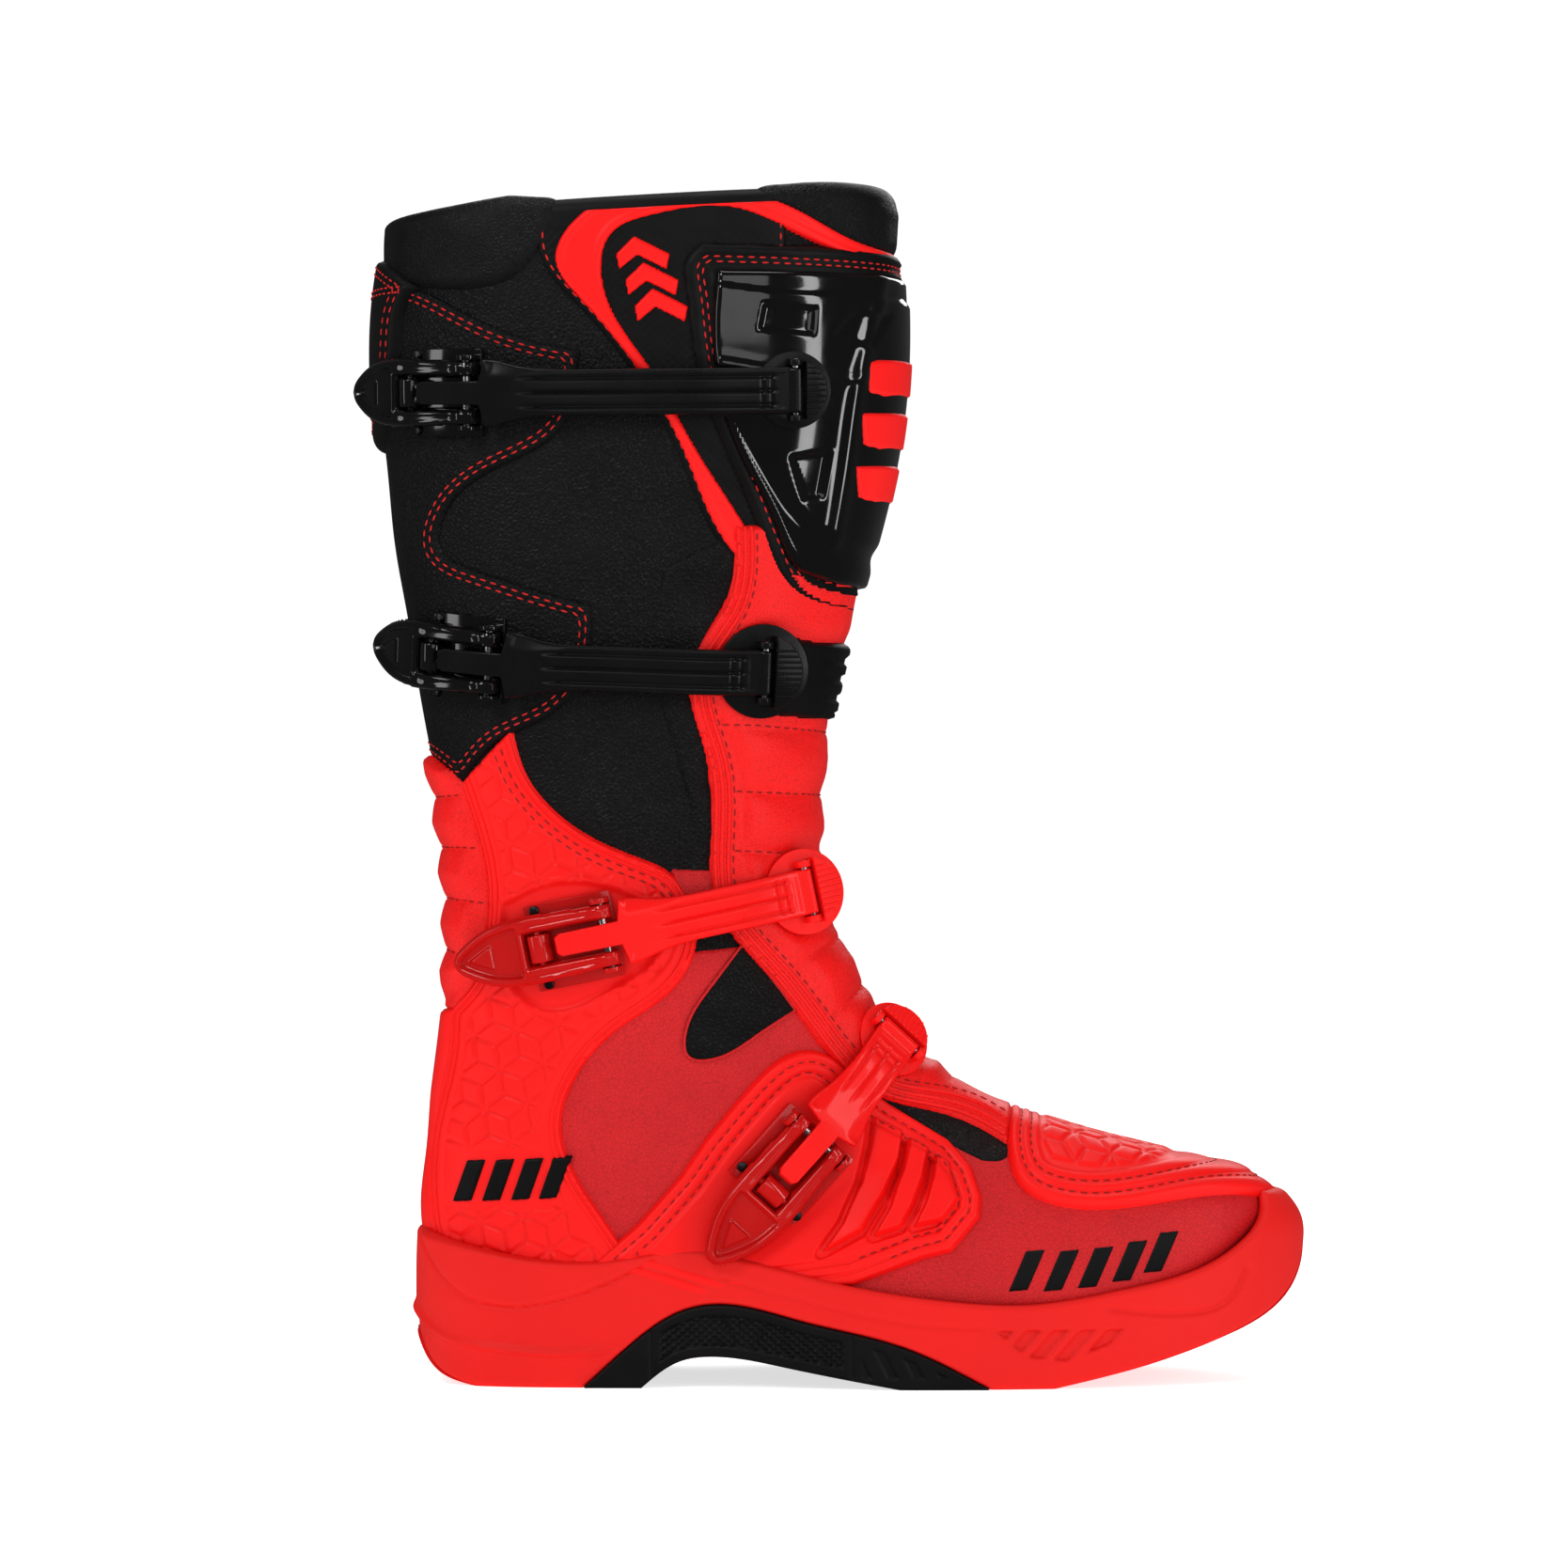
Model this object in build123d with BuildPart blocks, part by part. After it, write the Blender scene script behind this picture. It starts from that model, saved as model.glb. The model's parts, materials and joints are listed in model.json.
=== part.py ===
from build123d import *
import os
from math import cos, pi, radians, sin

# A right-foot off-road riding boot. +X runs to the toe, +Z up, and the outer side faces -Y.
# The origin is the point of the ground under the heel. All lengths are in millimetres.

# ---------------------------------------------------------------- driving dimensions
# Stations of the boot's form, from the shaft's rim down and then forward to the toe. Each is one
# closed section, from its rear or sole point to its front or instep point:
# rear x, rear z, front x, front z, half width, squareness, taper, shift to the inner side.
STATIONS = (
    (-55.0, 404.0, 118.5, 414.0, 61.0, 2.5, 0.03, 0.0),
    (-58.5, 384.0, 120.0, 393.0, 61.0, 2.5, 0.04, 0.0),
    (-59.5, 350.0, 120.5, 358.0, 60.0, 2.5, 0.05, 0.0),
    (-56.0, 310.0, 115.0, 317.0, 57.0, 2.5, 0.06, 0.0),
    (-49.5, 266.0, 103.0, 272.0, 52.5, 2.5, 0.07, 0.0),
    (-42.5, 226.0, 94.0, 232.0, 48.0, 2.5, 0.06, 0.0),
    (-37.0, 190.0, 91.0, 197.0, 45.0, 2.6, 0.04, 0.0),
    (-35.0, 160.0, 93.5, 170.0, 44.0, 2.7, 0.02, 0.0),
    (-36.5, 132.0, 101.0, 148.0, 43.0, 2.6, 0.00, 0.0),
    (-43.5, 72.0, 129.0, 112.0, 40.0, 2.6, 0.08, 2.0),
    (-41.0, 44.0, 146.0, 100.5, 40.0, 2.7, 0.16, 3.0),
    (-24.0, 24.0, 159.0, 94.5, 41.0, 2.9, 0.22, 4.0),
    (25.0, 19.0, 172.0, 90.0, 43.5, 3.0, 0.24, 5.0),
    (85.0, 17.0, 190.0, 84.5, 46.5, 3.0, 0.21, 5.5),
    (140.0, 14.0, 210.0, 79.5, 48.5, 3.0, 0.18, 6.0),
    (187.0, 18.0, 230.0, 75.0, 44.5, 3.0, 0.15, 6.5),
    (221.0, 27.0, 245.0, 71.0, 35.0, 2.8, 0.10, 7.0),
    (243.0, 38.0, 254.0, 64.0, 20.0, 2.5, 0.05, 7.0),
)
SECTION_POINTS = 20
SECTION_TURNS = [step / SECTION_POINTS for step in range(SECTION_POINTS + 1)]
REACH = 120.0  # past the boot on either side
REACH_ALL = 960.0  # past the boot on every side

# lifts of the layers above the shell's outer face
LINING = -6.5
SHELL = -3.0
SKIN = 1.2
BAND = 2.4
PANEL = 2.0
BELLOWS = 2.6
BORDER = 3.0
FLAP = 3.6
GUARD = 4.0
PLATE = 5.0
STRIP = 6.0

# sole
GROUND = 0.0
CLEAR = -9.0  # below the ground, where cutting outlines close
SOLE_TOP = 80.0
SHANK_HALF_WIDTH = 9.0
SHANK_FROM = 12.0
SHANK_TO = 128.0
SHANK_THICKNESS = 1.4
SHANK_TOP = 24.0
BOARD_TOP = 24.0
BOARD_FROM = -22.0
BOARD_TO = 196.0
FOOTBED_TOP = 31.0
ANKLE_SPLIT = 146.0

# buckles
LEVER_LENGTH = 45.0
LEVER_HALF_WIDTH = 11.0
LEVER_OVER = 3.0
LEVER_UNDER = 1.6
EYE_RADIUS = 3.6
FORK_HALF_WIDTH = 6.2
FORK_DEPTH = 29.0
PIN_RADIUS = 1.5
PIN_HALF_LENGTH = 13.0
RUNNING_FIT = 0.05
CATCH_PLACE = 23.4
CATCH_RADIUS = 3.9
CATCH_HALF_WIDTH = 4.8
CATCH_AXLE_RADIUS = 1.2
CATCH_AXLE_HALF_LENGTH = 9.0
BASE_HALF_WIDTH = 15.0
BASE_BACK = 28.0
BASE_FRONT = 4.0
BASE_DROP = 4.1
BASE_DEPTH = 16.0
LUG_FROM = 11.3
LUG_THICKNESS = 1.7
LUG_RADIUS = 3.4
TONGUE_END = 18.2
TONGUE_SPARE = 1.0  # drawn past the tongue's tip and cut off with it
TONGUE_HALF_WIDTH = 4.0
TONGUE_RISE = 3.0
STRAP_THICKNESS = 2.2
FLARE_FROM = 5.2
FLARE_LENGTH = 21.0
FLARE_HALF_WIDTH = 12.0
STRAP_HALF_WIDTH = 8.0
STRAP_REST = (0.4, 0.68)
BARREL_RADIUS = 2.5
STRAP_PIN_RADIUS = 1.2
STRAP_PIN_HALF_LENGTH = 10.9
ANCHOR_DROP = 3.0
ANCHOR_DEPTH = 9.0
ANCHOR_LUG_FROM = 8.6
ANCHOR_LUG_THICKNESS = 2.2
COVER_FROM = 3.3
COVER_SHARE = 0.8
COVER_RISE = 2.0
RIVET_RADIUS = 1.7
RIVET_SINK = 1.2
RIVET_RISE = 0.9
RIVET_PLACE = 24.0
RIVET_SIDE = 13.0

# name: pivot x, z; mouth x, z; lifts below the base and the anchor; lever's turn and anchor's tilt
# in degrees; pin and mouth heights over those lifts; the strap's rise over its chord; boss radius
BUCKLES = {
    "upper_calf": dict(pivot=(-25.5, 345.5), mouth=(84.0, 346.5), under=(PANEL, PLATE), turn=36.0, tilt=14.0,
                       heights=(6.2, 5.2), rise=5.2, boss=13.4),
    "lower_calf": dict(pivot=(-18.5, 253.0), mouth=(73.0, 249.5), under=(PANEL, FLAP), turn=36.0, tilt=14.0,
                       heights=(6.2, 5.2), rise=4.8, boss=16.5),
    "ankle": dict(pivot=(20.0, 158.0), mouth=(86.0, 172.0), under=(PANEL, FLAP), turn=22.0, tilt=14.0,
                  heights=(6.2, 6.5), rise=4.6, boss=15.0),
    "instep": dict(pivot=(92.0, 86.0), mouth=(118.0, 119.0), under=(GUARD, FLAP), turn=3.0, tilt=12.0,
                   heights=(7.4, 6.0), rise=3.8, boss=13.4),
}

# ---------------------------------------------------------------- side outlines, as x, z runs
# A run of two points is a straight edge and a longer one a smooth curve.
SOLE_SIDE = (
    ((-70, 62), (-47, 54), (-21, 47.5), (18, 44.5), (50, 48), (70, 44.5), (104, 36), (136, 31),
     (169, 29.5), (201, 34.5), (231, 42.5), (248, 54), (259, 67)),
    ((259, 67), (265, 58), (266, 46), (260, 32), (236, 17), (206, 7), (176, GROUND)),
    ((176, GROUND), (-26, GROUND)),
    ((-26, GROUND), (-40, 5), (-49, 20)),
    ((-49, 20), (-70, 20)),
    ((-70, 20), (-70, 62)),
)
ARCH_SIDE = (
    ((12, GROUND), (29, 15.5), (47, 27), (57, 29), (87, 23.5), (123, 14.5), (153, GROUND)),
    ((153, GROUND), (153, CLEAR)),
    ((153, CLEAR), (12, CLEAR)),
    ((12, CLEAR), (12, GROUND)),
)
ARCH_GAP = (
    ((32, GROUND), (46, 9.5), (56, 11), (82, 7.5), (122, GROUND)),
    ((122, GROUND), (122, CLEAR)),
    ((122, CLEAR), (32, CLEAR)),
    ((32, CLEAR), (32, GROUND)),
)
SOLE_PLAN = (
    ((-48, 0), (-47, -12), (-38, -28), (-12, -40), (40, -43), (95, -49), (140, -51), (190, -45), (236, -31),
     (259, -13), (266, 7)),
    ((266, 7), (260, 26), (240, 43), (200, 57), (150, 60), (90, 56), (40, 48.5), (-12, 42), (-38, 29),
     (-47, 13), (-48, 0)),
)
SHIN_PLATE = (
    ((140, 388), (58, 388)),
    ((58, 388), (57, 377), (57.5, 354), (62, 334), (69, 318), (77, 302), (84, 286), (94, 281.5), (107, 280)),
    ((107, 280), (140, 280)),
    ((140, 280), (140, 388)),
)
SHIN_BORDER = (
    ((140, 396), (53, 397)),
    ((53, 397), (48, 392), (48, 380), (50, 362), (57, 336), (67, 312), (76, 289), (83, 277), (92, 272),
     (106, 270)),
    ((106, 270), (140, 270)),
    ((140, 270), (140, 396)),
)
FRONT_FLAP = (
    ((140, 300), (64, 300)),
    ((64, 300), (61, 273), (52, 258), (49, 241), (55, 217), (56, 180), (57, 172), (66, 155), (78, 141),
     (90, 125),
     (102, 110), (116, 100), (132, 95.5), (148, 90), (160, 83)),
    ((160, 83), (166, 125)),
    ((166, 125), (140, 300)),
)
COLLAR_REAR = (
    ((-80, 386), (-45, 383)),
    ((-45, 383), (-29, 381.5), (-12, 385.5), (-2, 397), (8, 425)),
    ((8, 425), (-80, 425)),
    ((-80, 425), (-80, 386)),
)
COLLAR_FRONT = (
    ((68, 425), (70, 417), (86, 407), (103, 398.5), (123, 397)),
    ((123, 397), (150, 397)),
    ((150, 397), (150, 425)),
    ((150, 425), (68, 425)),
)
BAND_SIDE = (
    ((150, 397), (104, 400), (84, 410), (66, 415), (28, 414), (12, 407), (3, 391), (12, 377), (32, 352),
     (48, 323),
     (62, 293), (70, 284)),
    ((70, 284), (75, 288)),
    ((75, 288), (64, 306), (50, 328), (36, 353), (19, 384), (22, 400), (36, 406.5), (66, 409), (84, 402),
     (108, 392)),
    ((108, 392), (150, 390)),
    ((150, 390), (150, 397)),
)
EMBLEM_PANEL = (
    ((60, 425), (3, 425)),
    ((3, 425), (-2, 392), (14, 372), (30, 352), (46, 323), (60, 293), (70, 282)),
    ((70, 282), (90, 300)),
    ((90, 300), (60, 425)),
)
REAR_PATCH = (
    ((-80, 403), (-61, 402)),
    ((-61, 402), (-54, 391), (-45, 383)),
    ((-45, 383), (-48, 378), (-51, 356), (-56, 336), (-60, 318)),
    ((-60, 318), (-80, 315)),
    ((-80, 315), (-80, 403)),
)
CALF_PANEL = (
    ((-80, 388), (-45, 382), (-30, 374), (-8, 364), (11, 360)),
    ((11, 360), (10, 350), (5, 334), (-21, 318), (-37, 302), (-38, 293), (-24, 284), (0, 276), (15, 272)),
    ((15, 272), (15, 262), (10, 244), (0, 234), (-18, 225), (-30, 211)),
    ((-30, 211), (-45, 222), (-80, 225)),
    ((-80, 225), (-80, 388)),
)
BELLOWS_SIDE = (
    ((-80, 226), (-45, 222), (-30, 211)),
    ((-30, 211), (-25, 196), (-21, 178), (-21, 160), (-25, 142), (-34, 131)),
    ((-34, 131), (-80, 126)),
    ((-80, 126), (-80, 226)),
)
HEEL_COUNTER = (
    ((-80, 126), (-34, 131)),
    ((-34, 131), (-35, 115), (-39, 98), (-42, 80), (-41, 56), (-38, 40)),
    ((-38, 40), (-80, 40)),
    ((-80, 40), (-80, 126)),
)
GUSSET_SIDE = (
    ((40, 285), (70, 300)),
    ((70, 300), (75, 170)),
    ((75, 170), (47, 172)),
    ((47, 172), (50, 190), (46, 215), (38, 240), (40, 285)),
)
ANKLE_GUARD = (
    ((-34, 131), (-25, 142), (-21, 160), (-21, 178), (-25, 196), (-30, 211)),
    ((-30, 211), (-13, 229)),
    ((-13, 229), (-9, 216), (0, 203), (14, 192), (32, 184), (42, 179), (49, 168), (51, 155), (43, 139),
     (24, 125),
     (8, 106), (4, 91), (8, 76), (18, 60), (26, 48)),
    ((26, 48), (26, 30)),
    ((26, 30), (-38, 30)),
    ((-38, 30), (-41, 56), (-42, 80), (-39, 98), (-35, 115), (-34, 131)),
)
INSTEP_GUARD = (
    ((15, 43), (31, 57), (46, 74), (55, 88), (64, 100), (78, 111), (88, 117), (97, 115), (104, 109)),
    ((104, 109), (118, 98), (130, 92), (140, 85), (149, 74), (150, 61), (140, 48), (128, 44), (106, 34)),
    ((106, 34), (60, 30)),
    ((60, 30), (15, 43)),
)
FLEX_WINDOW = (
    ((67, 155), (55, 139), (47, 124), (48, 115), (57, 114), (72, 122), (86, 131)),
    ((86, 131), (78, 142), (67, 155)),
)
TOE_CAP = (
    ((170, 130), (162, 98), (160, 82), (165, 69), (176, 63.5), (206, 63), (240, 66), (250, 64), (262, 55)),
    ((262, 55), (290, 60)),
    ((290, 60), (290, 130)),
    ((290, 130), (170, 130)),
)
HEAT_GUARD = (
    ((5, 330), (70, 330)),
    ((70, 330), (60, 270), (50, 230), (54, 190), (52, 165), (40, 145)),
    ((40, 145), (-5, 150)),
    ((-5, 150), (-12, 200), (-2, 260), (5, 330)),
)
FRONT_BAND = (
    ((140, 260), (106, 261), (90, 260), (78, 263)),
    ((78, 263), (78, 235)),
    ((78, 235), (90, 234), (102, 234), (140, 233)),
    ((140, 233), (140, 260)),
)


# ---------------------------------------------------------------- helpers
def section(station, lift):
    """One closed section of the boot's form, moved outwards by lift."""
    rear_x, rear_z, front_x, front_z, half_width, squareness, taper, shift = station
    rear = Vector(rear_x, shift, rear_z)
    front = Vector(front_x, shift, front_z)
    along = (front - rear).normalized()
    plane = Plane(origin=(rear + front) / 2, x_dir=along, z_dir=Vector(0, 1, 0).cross(along))
    half_length = (front - rear).length / 2 + lift
    points = []
    for step in range(SECTION_POINTS):
        turn = 2 * pi * step / SECTION_POINTS
        x = abs(cos(turn)) ** (2 / squareness) * (1 if cos(turn) > 0 else -1)
        y = abs(sin(turn)) ** (2 / squareness) * (1 if sin(turn) > 0 else -1)
        points.append(Vector(half_length * x, (half_width + lift) * y * (1 - taper * x)))
    with BuildSketch(plane) as sketch:
        with BuildLine():
            add(Edge.make_spline(points, periodic=True, parameters=SECTION_TURNS))
        make_face()
    return sketch.sketch


def boot_form(lift):
    """The whole boot's form as a solid, moved outwards by lift."""
    with BuildPart() as form:
        loft(sections=[section(station, lift) for station in STATIONS])
    return form.part


FORMS = {lift: boot_form(lift) for lift in
         (LINING, SHELL, 0.0, SKIN, PANEL, BAND, BELLOWS, BORDER, FLAP, GUARD, PLATE, STRIP)}
PARTS = {}


def draw_runs(runs):
    """Draw an outline's runs in the open BuildLine."""
    for run in runs:
        if len(run) == 2:
            Line(*run)
        else:
            Spline(*run)


def keep(name, part):
    """Store a finished piece under its node name."""
    part.label = name
    PARTS[name] = part
    solids = part.solids()
    print(f"{name:24s} solids {len(solids)} volume {part.volume:10.1f} valid {part.is_valid}", flush=True)


def side_piece(name, outline, low, high, less=(), sides="both"):
    """A piece of the layer between two lifts, cut out by a side outline, less its named neighbours."""
    with BuildPart() as piece:
        with BuildSketch(Plane.XZ):
            with BuildLine():
                draw_runs(outline)
            make_face()
        extrude(amount=-REACH if sides == "inner" else REACH, both=sides == "both")
        add(FORMS[high], mode=Mode.INTERSECT)
        add(FORMS[low], mode=Mode.SUBTRACT)
        for neighbour in less:
            add(PARTS[neighbour], mode=Mode.SUBTRACT)
    keep(name, piece.part)


def surface_at(place, lift):
    """The point of a lifted form's outer side at x, z, and its outward normal."""
    hits = FORMS[lift].find_intersection_points(Axis((place[0], -REACH, place[1]), (0, 1, 0)))
    point, normal = min(hits, key=lambda hit: hit[0].Y)
    return point, normal if normal.Y < 0 else -normal


# ---------------------------------------------------------------- sole unit
with BuildPart() as insole_board:
    with BuildSketch(Plane.XZ):
        with Locations(((BOARD_FROM + BOARD_TO) / 2, BOARD_TOP / 2)):
            Rectangle(BOARD_TO - BOARD_FROM, BOARD_TOP)
    extrude(amount=REACH, both=True)
    add(FORMS[0.0], mode=Mode.INTERSECT)
    add(FORMS[SHELL], mode=Mode.SUBTRACT)
keep("insole_board", insole_board.part)

with BuildPart() as footbed:
    with BuildSketch(Plane.XZ):
        with Locations((0, FOOTBED_TOP / 2)):
            Rectangle(REACH_ALL, FOOTBED_TOP)
    extrude(amount=REACH, both=True)
    add(FORMS[LINING], mode=Mode.INTERSECT)
keep("footbed", footbed.part)

with BuildPart() as steel_shank:
    with BuildSketch(Plane.XY):
        with Locations(((SHANK_FROM + SHANK_TO) / 2, 0)):
            SlotOverall(SHANK_TO - SHANK_FROM, 2 * SHANK_HALF_WIDTH)
    extrude(amount=SHANK_TOP)
    add(boot_form(SHANK_THICKNESS), mode=Mode.INTERSECT)
    add(FORMS[0.0], mode=Mode.SUBTRACT)
keep("steel_shank", steel_shank.part)

with BuildPart() as arch_insert:
    with BuildSketch(Plane.XY):
        with BuildLine():
            draw_runs(SOLE_PLAN)
        make_face()
    extrude(amount=SOLE_TOP)
    with BuildSketch(Plane.XZ):
        with BuildLine():
            draw_runs(ARCH_SIDE)
        make_face()
        with BuildLine():
            draw_runs(ARCH_GAP)
        make_face(mode=Mode.SUBTRACT)
    extrude(amount=REACH, both=True, mode=Mode.INTERSECT)
    add(FORMS[0.0], mode=Mode.SUBTRACT)
    add(PARTS["steel_shank"], mode=Mode.SUBTRACT)
keep("arch_insert", arch_insert.part)

with BuildPart() as outsole:
    with BuildSketch(Plane.XY):
        with BuildLine():
            draw_runs(SOLE_PLAN)
        make_face()
    extrude(amount=SOLE_TOP)
    with BuildSketch(Plane.XZ):
        with BuildLine():
            draw_runs(SOLE_SIDE)
        make_face()
        with BuildLine():
            draw_runs(ARCH_SIDE)
        make_face(mode=Mode.SUBTRACT)
    extrude(amount=REACH, both=True, mode=Mode.INTERSECT)
    add(FORMS[0.0], mode=Mode.SUBTRACT)
    add(PARTS["steel_shank"], mode=Mode.SUBTRACT)
keep("outsole", outsole.part)

# ---------------------------------------------------------------- shell and lining
with BuildPart() as shaft_shell:
    with BuildSketch(Plane.XY.offset(ANKLE_SPLIT)):
        Rectangle(REACH_ALL, REACH_ALL)
    extrude(amount=REACH_ALL)
    add(FORMS[0.0], mode=Mode.INTERSECT)
    add(FORMS[SHELL], mode=Mode.SUBTRACT)
keep("shaft_shell", shaft_shell.part)

with BuildPart() as foot_upper:
    with BuildSketch(Plane.XY):
        Rectangle(REACH_ALL, REACH_ALL)
    extrude(amount=ANKLE_SPLIT)
    add(FORMS[0.0], mode=Mode.INTERSECT)
    add(FORMS[SHELL], mode=Mode.SUBTRACT)
    add(PARTS["insole_board"], mode=Mode.SUBTRACT)
keep("foot_upper", foot_upper.part)

with BuildPart() as liner:
    add(FORMS[SHELL])
    add(FORMS[LINING], mode=Mode.SUBTRACT)
keep("liner", liner.part)

# ---------------------------------------------------------------- panels and guards
side_piece("shin_plate", SHIN_PLATE, 0.0, PLATE)
side_piece("shin_plate_border", SHIN_BORDER, 0.0, BORDER, ["shin_plate"])
side_piece("front_flap", FRONT_FLAP, 0.0, FLAP, ["shin_plate_border", "shin_plate"])
side_piece("collar_pad_rear", COLLAR_REAR, 0.0, PLATE)
side_piece("collar_pad_front", COLLAR_FRONT, 0.0, PLATE, ["shin_plate_border"])
side_piece("side_emblem_band", BAND_SIDE, 0.0, BAND,
           ["shin_plate", "shin_plate_border", "collar_pad_rear", "collar_pad_front", "front_flap"])
side_piece("side_emblem_panel", EMBLEM_PANEL, 0.0, SKIN,
           ["side_emblem_band", "shin_plate", "shin_plate_border", "collar_pad_rear", "collar_pad_front",
            "front_flap"])
side_piece("rear_patch", REAR_PATCH, 0.0, STRIP, ["collar_pad_rear"])
side_piece("calf_panel", CALF_PANEL, 0.0, PANEL, ["rear_patch", "collar_pad_rear", "side_emblem_panel",
                                                 "side_emblem_band"])
side_piece("flex_gusset", GUSSET_SIDE, 0.0, SKIN, ["front_flap", "shin_plate_border", "side_emblem_band",
                                                   "side_emblem_panel"])
side_piece("rear_bellows", BELLOWS_SIDE, 0.0, BELLOWS, ["calf_panel"])
side_piece("heel_counter", HEEL_COUNTER, 0.0, GUARD, ["rear_bellows", "outsole"])
side_piece("ankle_guard_outer", ANKLE_GUARD, 0.0, PANEL,
           ["calf_panel", "rear_bellows", "heel_counter", "outsole", "front_flap", "flex_gusset"], "outer")
side_piece("instep_guard", INSTEP_GUARD, 0.0, GUARD, ["ankle_guard_outer", "front_flap", "outsole"], "outer")
side_piece("flex_window", FLEX_WINDOW, 0.0, SKIN, ["ankle_guard_outer", "front_flap", "instep_guard"],
           "outer")
side_piece("toe_cap", TOE_CAP, 0.0, FLAP, ["outsole", "front_flap"])
side_piece("inner_heat_guard", HEAT_GUARD, 0.0, PANEL,
           ["front_flap", "flex_gusset", "side_emblem_band", "side_emblem_panel", "calf_panel",
            "rear_bellows", "shin_plate", "shin_plate_border"], "inner")
side_piece("ankle_guard_inner", ANKLE_GUARD, 0.0, PANEL,
           ["calf_panel", "rear_bellows", "heel_counter", "outsole", "front_flap", "flex_gusset",
            "inner_heat_guard"], "inner")


# ---------------------------------------------------------------- buckles
def polar(offset, bend, angle):
    """The point that lies offset above the lever's centre line, an angle along it."""
    return (-(bend + offset) * sin(angle), (bend + offset) * cos(angle) - bend)


def draw_band(bend, top, bottom, start, end):
    """A closed band between two concentric arcs of the lever's bend, from one angle to another."""
    middle = (start + end) / 2
    ThreePointArc(polar(top, bend, start), polar(top, bend, middle), polar(top, bend, end))
    Line(polar(top, bend, end), polar(bottom, bend, end))
    ThreePointArc(polar(bottom, bend, end), polar(bottom, bend, middle), polar(bottom, bend, start))
    Line(polar(bottom, bend, start), polar(top, bend, start))


def draw_strap_side(profile, seat, anchor_ways, span, rise, side):
    """The outer (side 1) or inner (side -1) edge of a strap in its side view, from the tongue's tip."""
    pin, seat_along, seat_up = seat
    anchor_along, anchor_up = anchor_ways
    lift = side * STRAP_THICKNESS / 2
    places = []
    for along in (-TONGUE_END - TONGUE_SPARE, FLARE_FROM):
        places.append(profile.to_local_coords(pin + seat_along * along + seat_up * (TONGUE_RISE + lift)))
    for share in STRAP_REST:
        places.append(Vector(share * span, rise + lift))
    end = profile.to_local_coords(pin + profile.x_dir * span + anchor_up * lift)
    start_way = profile.to_local_coords(pin + seat_along)
    end_way = profile.to_local_coords(pin + anchor_along)
    return Spline(*places, end, tangents=(start_way, end_way))


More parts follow.
